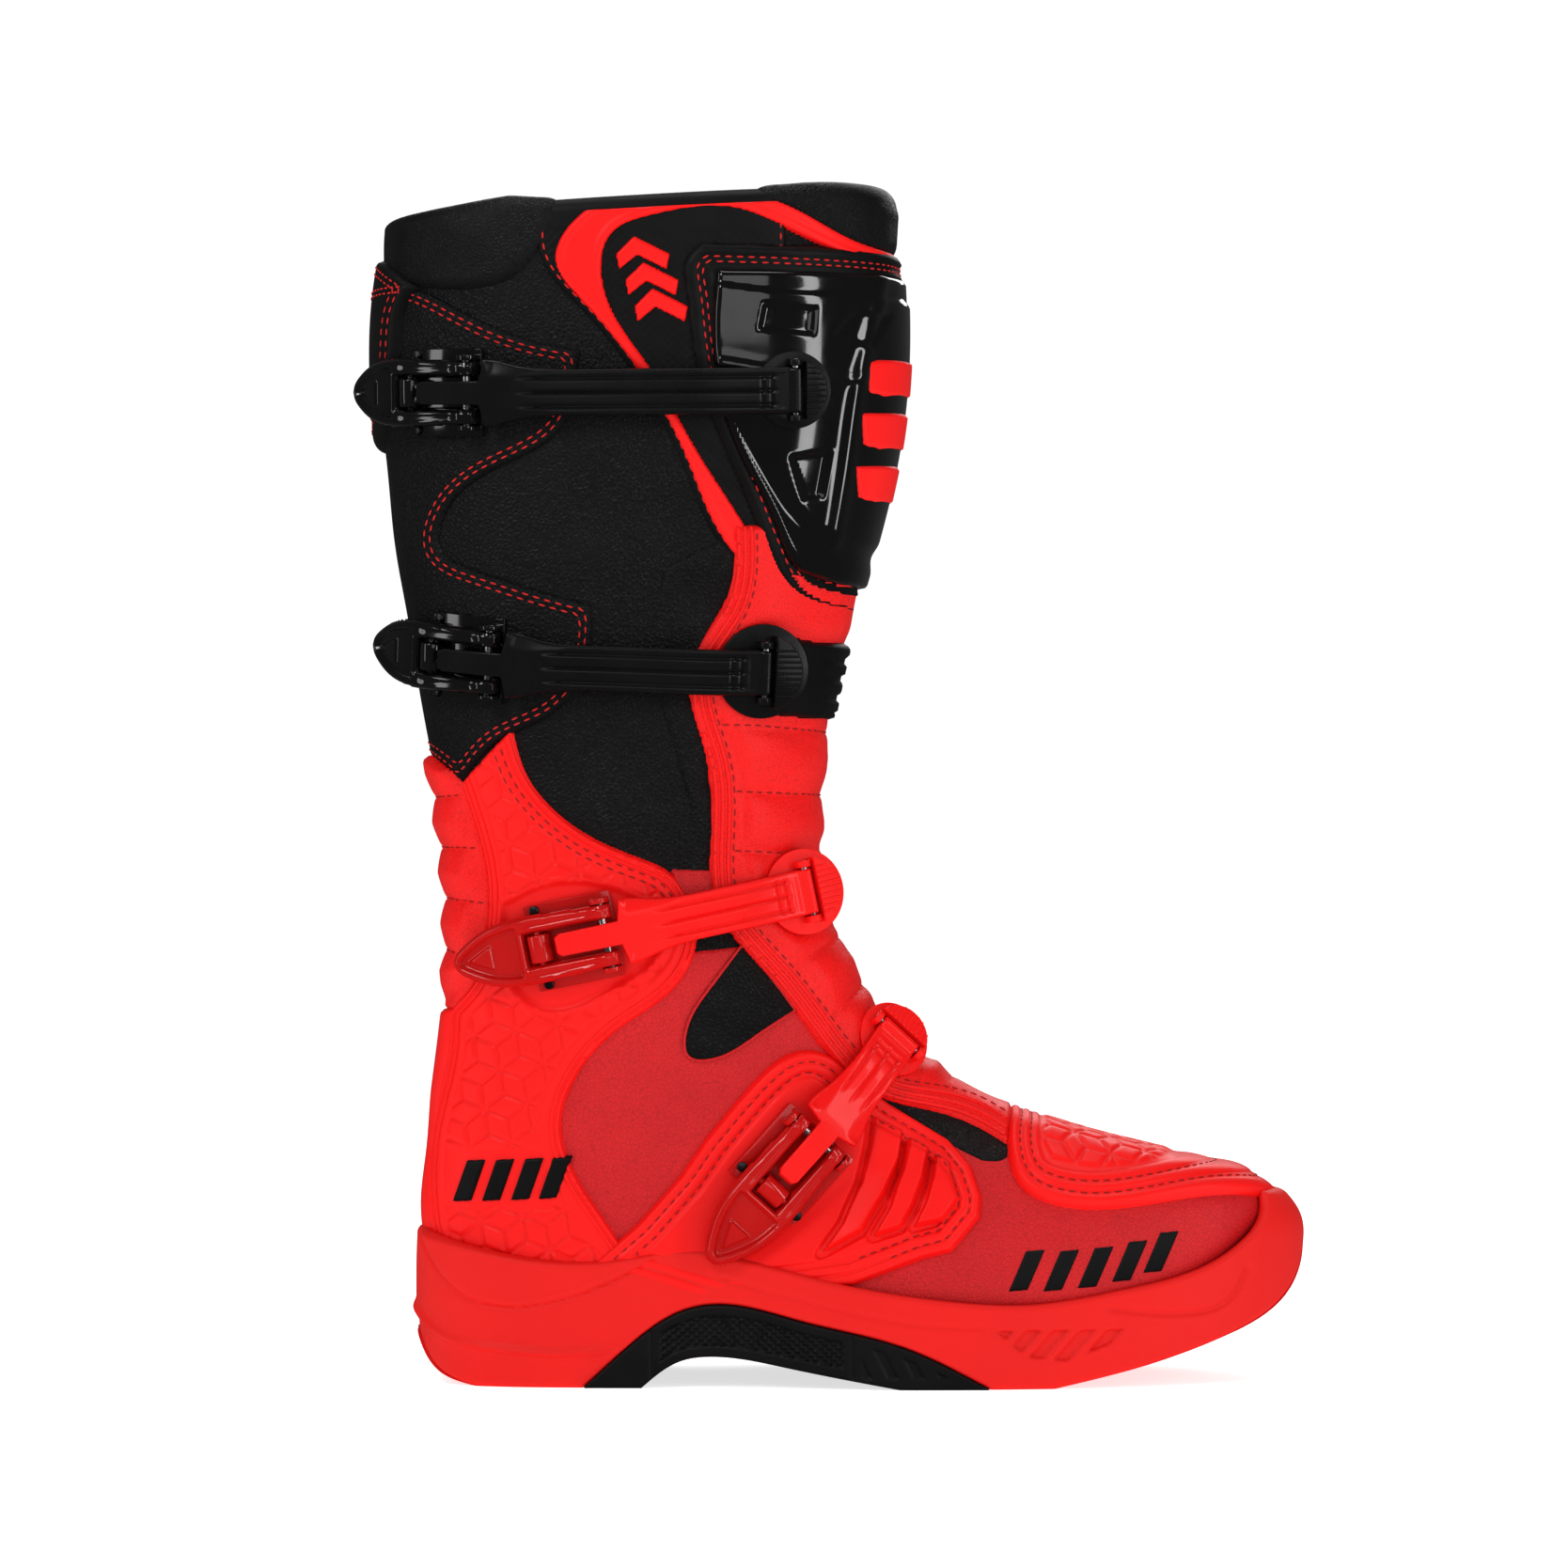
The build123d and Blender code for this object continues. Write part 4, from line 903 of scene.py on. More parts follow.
def make_looks(colours):
    """All the finishes, by name."""
    bright, deep, sole, black = (tuple(c) for c in (colours.bright, colours.deep, colours.sole, colours.black))
    LOOKS.update(
        black_leather=leather("black_leather", black, tinted(black, 0.6), 620.0, 0.75, 0.46),
        pad_leather=leather("pad_leather", tinted(black, 1.1), tinted(black, 0.6), 800.0, 0.45, 0.42),
        deep_leather=leather("deep_leather", deep, tinted(deep, 0.86), 700.0, 0.30, 0.46),
        flap_leather=leather("flap_leather", bright, tinted(bright, 0.93), 760.0, 0.16, 0.42),
        bright_plastic=moulded("bright_plastic", bright, tinted(bright, 0.94), 0.40, 0.10),
        gloss_red=moulded("gloss_red", tinted(bright, 0.58), tinted(bright, 0.5), 0.18, 0.02, 0.35, 0.4),
        strap_red=moulded("strap_red", tinted(bright, 0.96), tinted(bright, 0.88), 0.30, 0.05, 0.15),
        sole_rubber=moulded("sole_rubber", sole, tinted(sole, 0.93), 0.50, 0.14),
        black_rubber=moulded("black_rubber", tinted(black, 0.9), tinted(black, 0.5), 0.48, 0.12),
        satin_black=moulded("satin_black", tinted(black, 0.7), tinted(black, 0.45), 0.27, 0.05, 0.0, 0.35),
        gloss_black=moulded("gloss_black", tinted(black, 0.5), tinted(black, 0.3), 0.09, 0.01, 0.6, 0.5),
        red_thread=thread("red_thread", tinted(bright, 0.85)),
        dark_thread=thread("dark_thread", tinted(bright, 0.45)),
        lining=mesh_cloth("lining", (0.035, 0.035, 0.038)),
        bright_steel=metal("bright_steel", (0.62, 0.62, 0.64), 0.24),
        dark_steel=metal("dark_steel", (0.09, 0.09, 0.10), 0.35),
        board=moulded("board", (0.20, 0.16, 0.11), (0.15, 0.12, 0.08), 0.8, 0.2),
    )


def stitched(name, lines, slot="leather_black", look="red_thread", wide=0.75):
    """One piece of stitches along several lines."""
    colours = bpy.context.scene.boot_colours
    along(name, lines, TREES["stitch"], look, {"Pitch": colours.stitch_pitch / MM, "Width": wide,
                                               "Length": colours.stitch_length / MM, "Height": wide * 0.7}, slot)


def piped(name, lines, look, radius):
    """One piece of piping along several lines."""
    along(name, lines, TREES["piping"], look, {"Radius": radius})


def straight(corners):
    """A side outline of straight runs through its corners."""
    return list(zip(corners, corners[1:] + corners[:1]))


def join(name, parts):
    """Put several meshes into one object."""
    work = bmesh.new()
    for part in parts:
        mesh = part.data
        work.from_mesh(mesh)
        bpy.data.objects.remove(part)
        bpy.data.meshes.remove(mesh)
    mesh = bpy.data.meshes.new(name)
    work.to_mesh(mesh)
    work.free()
    return linked(name, mesh)


def flat_marks(name, look, outlines, lift, roll, sink, step, spread=0.35, **place):
    """Several plain marks with straight sides, as one piece."""
    parts = []
    for corners in outlines:
        mark = Patch(straight(corners), step, **place)
        mark.raise_edge(lift, roll, sink, spread)
        parts.append(mark.build("mark"))
    finish_piece(join(name, parts), look)


def nearest_seam(patch, seams):
    """How far each place of a patch is from the nearest of several seams."""
    return np.min([distance(patch.x, patch.z, smooth(seam)) for seam in seams], axis=0)


def seam_lines(patch, seams, where, rise):
    """Lines on a padded piece along its sewn seams."""
    lines = []
    for seam in seams:
        near = distance(patch.x, patch.z, smooth(seam)) < SEAM_REACH
        lines += patch.trace(above(patch, seam), 0.0, near & where, rise)
    return lines


class BOOT_OT_prepare(bpy.types.Operator):
    """Make the finishes and the node trees"""

    bl_idname = "boot.prepare"
    bl_label = "Finishes"

    def execute(self, context):
        make_looks(context.scene.boot_colours)
        TREES.update(stitch=stitch_tree(), piping=piping_tree())
        return {"FINISHED"}


class BOOT_OT_shaft(bpy.types.Operator):
    """Make the leather shaft, the leather of the foot and the lining"""

    bl_idname = "boot.shaft"
    bl_label = "Shaft, foot and lining"

    def execute(self, context):
        v = np.linspace(0, 1, int(184 / ROUGHEN), endpoint=False)
        points, normals = form(np.linspace(0, 9.2, int(140 / ROUGHEN)), v)
        x, z = points[..., 0], points[..., 2]
        crease = 0.5 * np.sin(z * 0.16 + x * 0.05) * np.exp(-(((z - 195) / 45) ** 2)) * ease((z - 150) / 30)
        rows = np.concatenate((points + normals * crease[..., None], (points + normals * SHELL_LIFT)[::-1]))
        finish_piece(rings("shaft", rows, loop=True), "black_leather", replaces=["shaft_shell"])

        points, normals = form(np.linspace(7.6, LAST, int(150 / ROUGHEN)), v)
        tuck = ease((52 - points[..., 2]) / 4) * ease((80 - points[..., 0]) / 12)
        closing = np.broadcast_to(points[-1].mean(0), points[-1].shape)
        rows = np.concatenate(([closing - (3.0, 0, 0)], (points + normals * SHELL_LIFT)[::-1],
                               points + normals * (0.15 - 2.6 * tuck)[..., None], [closing]))
        finish_piece(rings("foot_leather", rows), "deep_leather", replaces=["foot_upper"])

        points, normals = form(np.linspace(0, LAST - 1, int(150 / ROUGHEN)), v[::2])
        closing = np.broadcast_to(points[-1].mean(0), points[-1].shape)
        rows = np.concatenate(([closing - (8.0, 0, 0)], (points + normals * LINING_LIFT)[::-1],
                               points + normals * (SHELL_LIFT - 0.3), [closing - (3.5, 0, 0)]))
        finish_piece(rings("lining", rows), "lining", replaces=["liner"])
        return {"FINISHED"}


def at(curve, x, **ends):
    """A curve's height over x."""
    return np.interp(x, curve[:, 0], curve[:, 1], **ends)


def sole_profiles():
    """The heights of the sole's top edge and of its bottom over x, as dense curves."""
    nose = smooth(SOLE_NOSE, 0.5)
    tip = int(nose[:, 0].argmax())
    return (np.vstack((smooth(SOLE_TOP, 0.5), nose[:1] + (30.0, 0.0))),
            np.vstack((smooth(SOLE_HEEL, 0.5)[::-1], nose[tip:][::-1])))


def toe_lean(x, z):
    """How far the wall of the toe leans back above its foremost height."""
    nose = smooth(SOLE_NOSE, 0.5)[::-1]
    tip = int(nose[:, 0].argmax())
    back = nose[tip, 0] - np.interp(z, nose[tip:, 1], nose[tip:, 0])
    return back * ease((x - 228) / 30)


def sole_plan(count):
    """Evenly turned x places with the outer and the inner y of the sole's plan."""
    ring = np.array(SOLE_OUTER + SOLE_INNER[1:-1], float)
    closed = np.vstack((ring, ring[:1]))
    knots = np.concatenate(([0], np.cumsum(np.linalg.norm(np.diff(closed, axis=0), axis=1))))
    dense = curve_weights(knots, np.linspace(0, knots[-1], 3000), closed=True) @ ring
    dense = np.roll(dense, -int(dense[:, 0].argmin()), axis=0)
    toe = int(dense[:, 0].argmax())
    inner = np.vstack((dense[toe:], dense[:1]))[::-1]
    turn = np.linspace(0, math.pi, count)
    x = dense[0, 0] + (dense[toe, 0] - dense[0, 0]) * (1 - np.cos(turn)) / 2
    return x, at(dense[:toe + 1], x), at(inner, x)


def sole_solid(name, span, low_at, high_at, wall_relief, bottom_relief, proud=0.0, edge=2.2, lip=2.6, rows=46,
               count=430):
    """A closed slab of the sole between two side curves, with relief on its wall and its bottom."""
    x, outer, inner = sole_plan(int(count / ROUGHEN))
    keep = (x >= span[0] - 0.2) & (x <= span[1] + 0.2)
    x, outer, inner = x[keep], outer[keep], inner[keep]
    ring_x = np.concatenate((x, x[::-1]))
    ring_y = np.concatenate((outer, inner[::-1]))
    middle = np.concatenate(((outer + inner) / 2, ((outer + inner) / 2)[::-1]))
    side = np.stack((ring_x, ring_y), axis=-1)
    ahead = np.roll(side, -1, axis=0) - np.roll(side, 1, axis=0)
    way = np.stack((ahead[:, 1], -ahead[:, 0]), axis=-1)
    way /= np.maximum(np.linalg.norm(way, axis=1, keepdims=True), 1e-9)
    centre = np.stack((np.full(len(ring_x), 110.0), middle), axis=-1)
    way *= np.sign(((side - centre) * way).sum(1).mean())
    low = low_at(ring_x)
    high = np.maximum(high_at(ring_x), low + 0.6)
    half_way = (low + high) / 2

    def row(offset, height):
        """One ring at an outward offset and a height."""
        flat = side + way * offset[:, None]
        flat[:, 0] -= toe_lean(side[:, 0], height)
        return np.concatenate((flat, height[:, None]), axis=1)

    made = []
    for share in np.linspace(0, 1, int(30 / ROUGHEN), endpoint=False):
        y = middle + (ring_y - middle) * share * 0.97
        z = low + bottom_relief(ring_x, y - middle, np.abs(ring_y - middle) * (1 - share))
        made.append(np.stack((ring_x, y, z), axis=-1))
    soft = np.minimum(edge, (high - low) / 2.2)
    for share in np.linspace(0, 1, int(rows / ROUGHEN)):
        height = low + (high - low) * share
        near = np.minimum(height - low, high - height)
        drop = soft - np.sqrt(np.clip(soft**2 - np.clip(soft - near, 0, None) ** 2, 0, None))
        made.append(row(proud - drop + wall_relief(ring_x, height) * ease(near / 1.2), height))
    for step_in, height in ((lip * 0.5, high - 0.2), (lip, high - 1.2), (lip + 1.0, half_way)):
        made.append(row(proud - soft - step_in, height))
    inside = made[-1]
    for share in (0.6, 0.0):
        y = middle + (inside[:, 1] - middle) * share
        made.append(np.stack((np.minimum(ring_x, inside[:, 0].max()), y, half_way), axis=-1))
    return rings(name, made)


class BOOT_OT_sole(bpy.types.Operator):
    """Make the red sole and the black arch insert"""

    bl_idname = "boot.sole"
    bl_label = "Sole"

    def execute(self, context):
        top, low = sole_profiles()
        arch, gap = smooth(ARCH_TOP, 0.5), smooth(ARCH_GAP, 0.5)
        heel_arc = smooth(((-47, 55), (-45.3, 50), (-41, 42.3), (-32.1, 33.1), (-17.1, 28.2), (2, 30.2), (22.3, 37.4),
                           (36.1, 44.3)))
        heel_ridge = smooth(((-49, 27), (-40.7, 18.7), (-25.9, 14.4), (2.3, 12.1), (18, 13.1), (29.5, 15.4)))
        swoosh = smooth(((195.8, 27.6), (219.4, 25.6), (237.1, 29.8), (244, 40.3)))
        recess = ((153.8, 21), (203.7, 21), (196, 15.5), (180, 9.5), (166, 11))
        welt = smooth(((60, 38.5), (104, 27), (136, 22), (150, 21.5)))

        def wall(x, z):
            """The sole's side: the heel's panel, arc and ridge, the fins, the grooves and a slight swell."""
            over = z - at(heel_arc, x, left=90, right=90)
            under = at(heel_ridge, x, left=0, right=-9) - z
            slant = ((x - 0.9 * z) / 9.5) % 1.0
            fins = -1.5 + 1.5 * ease((0.62 - slant) / 0.25) * ease(slant / 0.1)
            base = at(low, x)
            share = np.clip((z - base) / np.maximum(at(top, x) - base, 1), 0, 1)
            return (0.9 * ease(over / 1.4 + 0.5) * ease((38 - x) / 8) + groove(x, z, heel_arc, 0.8, 0.9)
                    + groove(x, z, heel_ridge, 1.5, -1.3) * ease((30 - x) / 14)
                    - 0.8 * ease(under / 2.0) * ease((26 - x) / 10) + ease(depth_in(x, z, recess)) * fins
                    + groove(x, z, swoosh, 1.1, 0.9) + groove(x, z, welt, 1.0, 0.45) + 0.5 * np.sin(share * math.pi))

        def tread(x, y, inward):
            """Cross grooves under the sole, within a groove along its rim."""
            cut = ease((saw((x + 0.25 * np.abs(y)) / 13.0) - 0.34) / 0.05) * ease((inward - 5.5) / 1.5)
            return 2.2 * np.maximum(cut, bump(inward, 6.0, 1.1) * 0.8)

        made = sole_solid("sole", (-60, 300), lambda x: np.maximum(at(low, x), at(arch, x, left=0, right=0)),
                          lambda x: at(top, x), wall, tread, rows=56)
        finish_piece(made, "sole_rubber", replaces=["outsole"], sharp=50)

        def insert_top(x):
            """The insert's upper edge, just over the arch."""
            return at(arch, x, left=0, right=0) + 0.1

        def insert_low(x):
            """The insert's lower edge."""
            return at(gap, x, left=0, right=0)

        def knurl(x, z):
            """Small pyramids in a sunk field, its two end grooves and the slots before it."""
            up, down = z - insert_low(x), insert_top(x) - z
            field = ease((up - 3.4) / 0.8) * ease((down - 3.2) / 0.8) * ease((x - 38) / 1.5) * ease((103 - x) / 1.5)
            pyramid = 2 * np.minimum(saw((x + 1.2 * z) / 3.2), saw((x - 1.2 * z) / 3.2))
            ends = bump(x, 35.5, 0.7) + bump(x, 105.5, 0.7)
            slots = (ease((0.22 - saw((x + 0.5 * z) / 9.0)) / 0.05) * ease((x - 108) / 2) * ease(z - 3.5)
                     * ease(down - 3))
            return field * (-1.1 + 1.3 * pyramid) - 0.7 * ends * ease((up + down) / 4) - 0.7 * slots

        made = sole_solid("arch_insert", (12.6, 152.4), insert_low, insert_top, knurl, tread, proud=0.5, edge=1.0,
                          lip=1.0, rows=44, count=850)
        finish_piece(made, "black_rubber", replaces=["arch_insert"], sharp=50)
        return {"FINISHED"}


class BOOT_OT_collar(bpy.types.Operator):
    """Make the padded collar and the patch at the back of the rim"""

    bl_idname = "boot.collar"
    bl_label = "Collar"

    def execute(self, context):
        for name, runs, front in (("collar_pad_rear", COLLAR_REAR, False), ("collar_pad_front", COLLAR_FRONT, True)):
            pad = Patch(runs, 1.2, front=front, lip=16.0, margin=1.5)
            pad.raise_edge(2.2, roll=5.0)
            fold = 0.16 * np.sin(pad.x * 0.21 + 0.15 * pad.z) * np.sin(pad.z * 0.17)
            pad.add(ease((pad.deep - 1) / 26) * 3.0 + fold, within=8.0)
            made = pad.finish(name, "pad_leather")

        patch = Patch(REAR_PATCH, 1.0)
        patch.raise_edge(5.4, roll=1.6)
        patch.add(-press(patch.x, patch.z, ((-80, 338), (-54.6, 340), (-54, 352), (-80, 354)), 0.9, 1.0))
        patch.finish("rear_patch", "black_rubber")
        seam = above(patch, ((-80, 381), (-45, 381)))
        stitched("rear_patch_stitches", patch.lines(patch.deep, (2.0, 3.8))
                 + patch.lines(seam, (0.0, 1.8), patch.deep > 1.8), "rubber_black")
        flat_marks("rear_marks", "bright_plastic", [((-80, 340), (-56, 341), (-57, 350), (-80, 351))], 7.2, 0.8, -4.0,
                   1.0)
        return {"FINISHED"}


class BOOT_OT_shin(bpy.types.Operator):
    """Make the gloss shin plate and its rubber border"""

    bl_idname = "boot.shin"
    bl_label = "Shin plate"

    def execute(self, context):
        plate = Patch(SHIN_PLATE, 1.0, front=True)
        plate.raise_edge(4.6, roll=2.0)
        x, z = plate.x, plate.z
        for corners, depth, width in ((((102, 375), (116, 375), (109, 361), (94.5, 365.5)), 1.6, 2.2),
                                      (((73, 377), (91, 376), (90, 365), (71, 366.5)), 1.5, 2.0),
                                      (((81, 325), (96, 327.5), (92.8, 309.6), (85.6, 309)), 1.6, 2.2)):
            plate.add(press(x, z, corners, depth, width))
        shoulder = smooth(((57, 383), (80, 380.5), (100, 380), (124, 379)))
        plate.add(1.1 * ease(0.5 - above(plate, shoulder) / 1.6))
        lower = smooth(((60, 341), (68.9, 328.3), (84.3, 300.8), (93.5, 293.6), (117, 292)))
        plate.add(-1.4 * ease(1 - distance(x, z, lower) / 6) * ease(plate.deep / 3))
        crest = smooth(((112, 388), (109, 372), (104.6, 352.6), (100, 322), (95.4, 294.9)))
        belt = smooth(((57.5, 356), (76, 353), (96, 351), (104.6, 352.6)))
        plate.add(groove(x, z, crest, 2.6, -1.5) + groove(x, z, belt, 2.0, -0.9))
        plate.finish("shin_plate", "gloss_black")

        bars = []
        for height in (352, 334, 316):
            left = 106 - (352 - height) * 0.10
            bars.append(((left, height + 6), (150, height + 10), (150, height + 1), (left + 6, height - 6),
                         (left + 1, height - 5)))
        flat_marks("shin_marks", "bright_plastic", bars, 6.6, 0.8, -3.0, 0.9, front=True)

        border = Patch(SHIN_BORDER, 1.15, front=True)
        border.raise_edge(2.6, roll=1.3)
        border.add(ridge(border.deep, 2.6, 1.0, 0.8) + ridge(border.deep, 8.2, 1.0, 0.8))
        border.finish("shin_border", "black_rubber", ["shin_plate_border"])
        stitched("shin_border_stitches", border.lines(border.deep, (4.6, 6.4)), "rubber_black")
        return {"FINISHED"}


class BOOT_OT_emblem(bpy.types.Operator):
    """Make the dimpled side panels, their red bands and stitches"""

    bl_idname = "boot.emblem"
    bl_label = "Side panels"

    def execute(self, context):
        for side in ("outer", "inner"):
            panel = Patch(EMBLEM_PANEL, 0.9, side=side, lip=8.0)
            panel.raise_edge(1.1, roll=1.0)
            dots = np.cos(2 * math.pi * panel.x / DIMPLES) * np.cos(2 * math.pi * panel.z / DIMPLES)
            panel.add(-0.45 * ease(dots * 1.5) * ease((403 - panel.z) / 3), within=4.5)
            panel.finish(f"side_panel_{side}", "black_rubber", ["side_emblem_panel"] if side == "outer" else ())
            stitched(f"side_panel_stitches_{side}", panel.lines(panel.deep, (1.8,), panel.z < 404), "rubber_black")
            band = Patch(BAND_SIDE, 0.8, side=side)
            band.raise_edge(2.4, roll=1.1)
            band.add(-0.5 * ease((band.deep - 2.2) / 1.2))
            band.finish(f"side_band_{side}", "bright_plastic", ["side_emblem_band"] if side == "outer" else ())
        chevrons = [[(x + shift * 0.35, z - shift) for x, z in CHEVRON] for shift in (0.0, 9.0, 18.0)]
        flat_marks("side_marks", "bright_plastic", chevrons, 2.1, 0.6, 0.2, 0.6, side="outer")
        return {"FINISHED"}


class BOOT_OT_calf(bpy.types.Operator):
    """Make the calf panel and the gussets of the shaft"""

    bl_idname = "boot.calf"
    bl_label = "Calf panel and gussets"

    def execute(self, context):
        panel = Patch(CALF_PANEL, 1.35)
        panel.raise_edge(1.7, roll=1.2)
        panel.add(0.35 * np.sin(panel.z * 0.11 + 0.7) * np.sin(panel.x * 0.08), within=8.0)
        panel.finish("calf_panel", "black_leather")
        hidden = (panel.points[..., 1] > 0) & (depth_in(panel.x, panel.z, outline(HEAT_GUARD)) > -1.5)
        stitched("calf_panel_stitches", panel.lines(panel.deep, (2.1, 4.1), (panel.x > -75) & ~hidden))

        parts = []
        for side in ("outer", "inner"):
            gusset = Patch(GUSSET_SIDE, 1.6, side=side)
            gusset.raise_edge(0.8, roll=2.0)
            gusset.add(0.5 * np.sin(gusset.z * 0.2 + gusset.x * 0.12), within=6.0)
            parts.append(gusset.build("gusset"))
        finish_piece(join("flex_gussets", parts), "black_leather", replaces=["flex_gusset"])
        return {"FINISHED"}


class BOOT_OT_flap(bpy.types.Operator):
    """Make the padded front flap with its piping and seams"""

    bl_idname = "boot.flap"
    bl_label = "Front flap"

    def execute(self, context):
        lift = context.scene.boot_sizes.flap_lift / MM
        flap = Patch(FRONT_FLAP, 1.15, front=True)
        x, z = flap.x, flap.z
        flap.raise_edge(lift - 0.6, roll=1.8)
        edge = distance(x, z, smooth(FLAP_EDGE))
        seams = (((60, 231), (70.5, 230.9), (97.1, 228.6), (120, 228)),
                 ((60, 208), (67.2, 207.6), (94.8, 206.3), (120, 206)),
                 ((62, 187), (80, 186), (120, 185.5)), ((70, 168), (84, 160), (110, 164)),
                 ((80, 141), (88.2, 148.6), (102.3, 157.1), (112, 162)), ((92, 122), (103, 134), (118, 146)),
                 ((112, 100), (124, 111), (140, 124)), ((132, 95), (142, 106), (156, 120)))
        nearest = nearest_seam(flap, seams)
        room = ease((edge - 7.0) / 7.0) * (1 - ease((z - 226) / 8) * ease((268 - z) / 8))
        for boss_x, boss_z, boss in ((75.3, 248.8, 16.5), (90.4, 172.8, 15.0), (121.9, 122.0, 13.4)):
            room = room * ease((np.hypot(x - boss_x, z - boss_z) - boss + 1) / 7.0)
        puff = 2.6 * np.sqrt(np.clip(nearest / 9.0, 0, 1)) * ease(1.5 - nearest / 40)
        flap.add(room * (puff - 0.6))
        flap.add(groove(x, z, smooth(((58.4, 233.2), (65.6, 214.2), (66.5, 188.6), (69, 172))), 0.9, 0.7))
        flap.add(0.25 * np.sin(z * 0.55 + 0.3 * x) * room * bump(nearest, 0, 5.0))
        made = flap.finish("front_flap", "flap_leather")
        piped("flap_piping", flap.lines(edge, (1.3, 3.4, 5.6), flap.deep > 0.4, -0.1), "flap_leather", 0.85)
        lines = flap.lines(edge, (7.3,), flap.deep > 3) + seam_lines(flap, seams[:4], edge > 8.5, 0.15)
        stitched("flap_stitches", lines, "leather_red", "dark_thread", 0.6)
        return {"FINISHED"}


class BOOT_OT_bellows(bpy.types.Operator):
    """Make the padded bellows over the tendon"""

    bl_idname = "boot.bellows"
    bl_label = "Rear bellows"

    def execute(self, context):
        bellows = Patch(BELLOWS_SIDE, 1.0)
        bellows.raise_edge(1.6, roll=1.4)
        seams = (((-60, 206), (-39.4, 206), (-28.2, 206.6), (-20, 207)), ((-60, 188.3), (-36.1, 188.3), (-20, 187.8)),
                 ((-60, 170.4), (-34.4, 170.2), (-18, 168.2)), ((-60, 152.4), (-35.1, 151.9), (-18, 147)),
                 ((-60, 133), (-37.1, 133), (-28.2, 140)))
        nearest = nearest_seam(bellows, seams)
        side = distance(bellows.x, bellows.z, smooth(BELLOWS_EDGE))
        bellows.add(3.4 * np.sqrt(np.clip(nearest / 8.5, 0, 1)) * ease((side - 0.5) / 7.0))
        bellows.add(0.2 * np.sin(bellows.points[..., 1] * 0.5) * bump(nearest, 0, 3.0))
        made = bellows.finish("rear_bellows", "flap_leather")
        stitched("bellows_stitches", seam_lines(bellows, seams[:4], side > 2.5, 0.1), "leather_red", "dark_thread", 0.6)
        return {"FINISHED"}


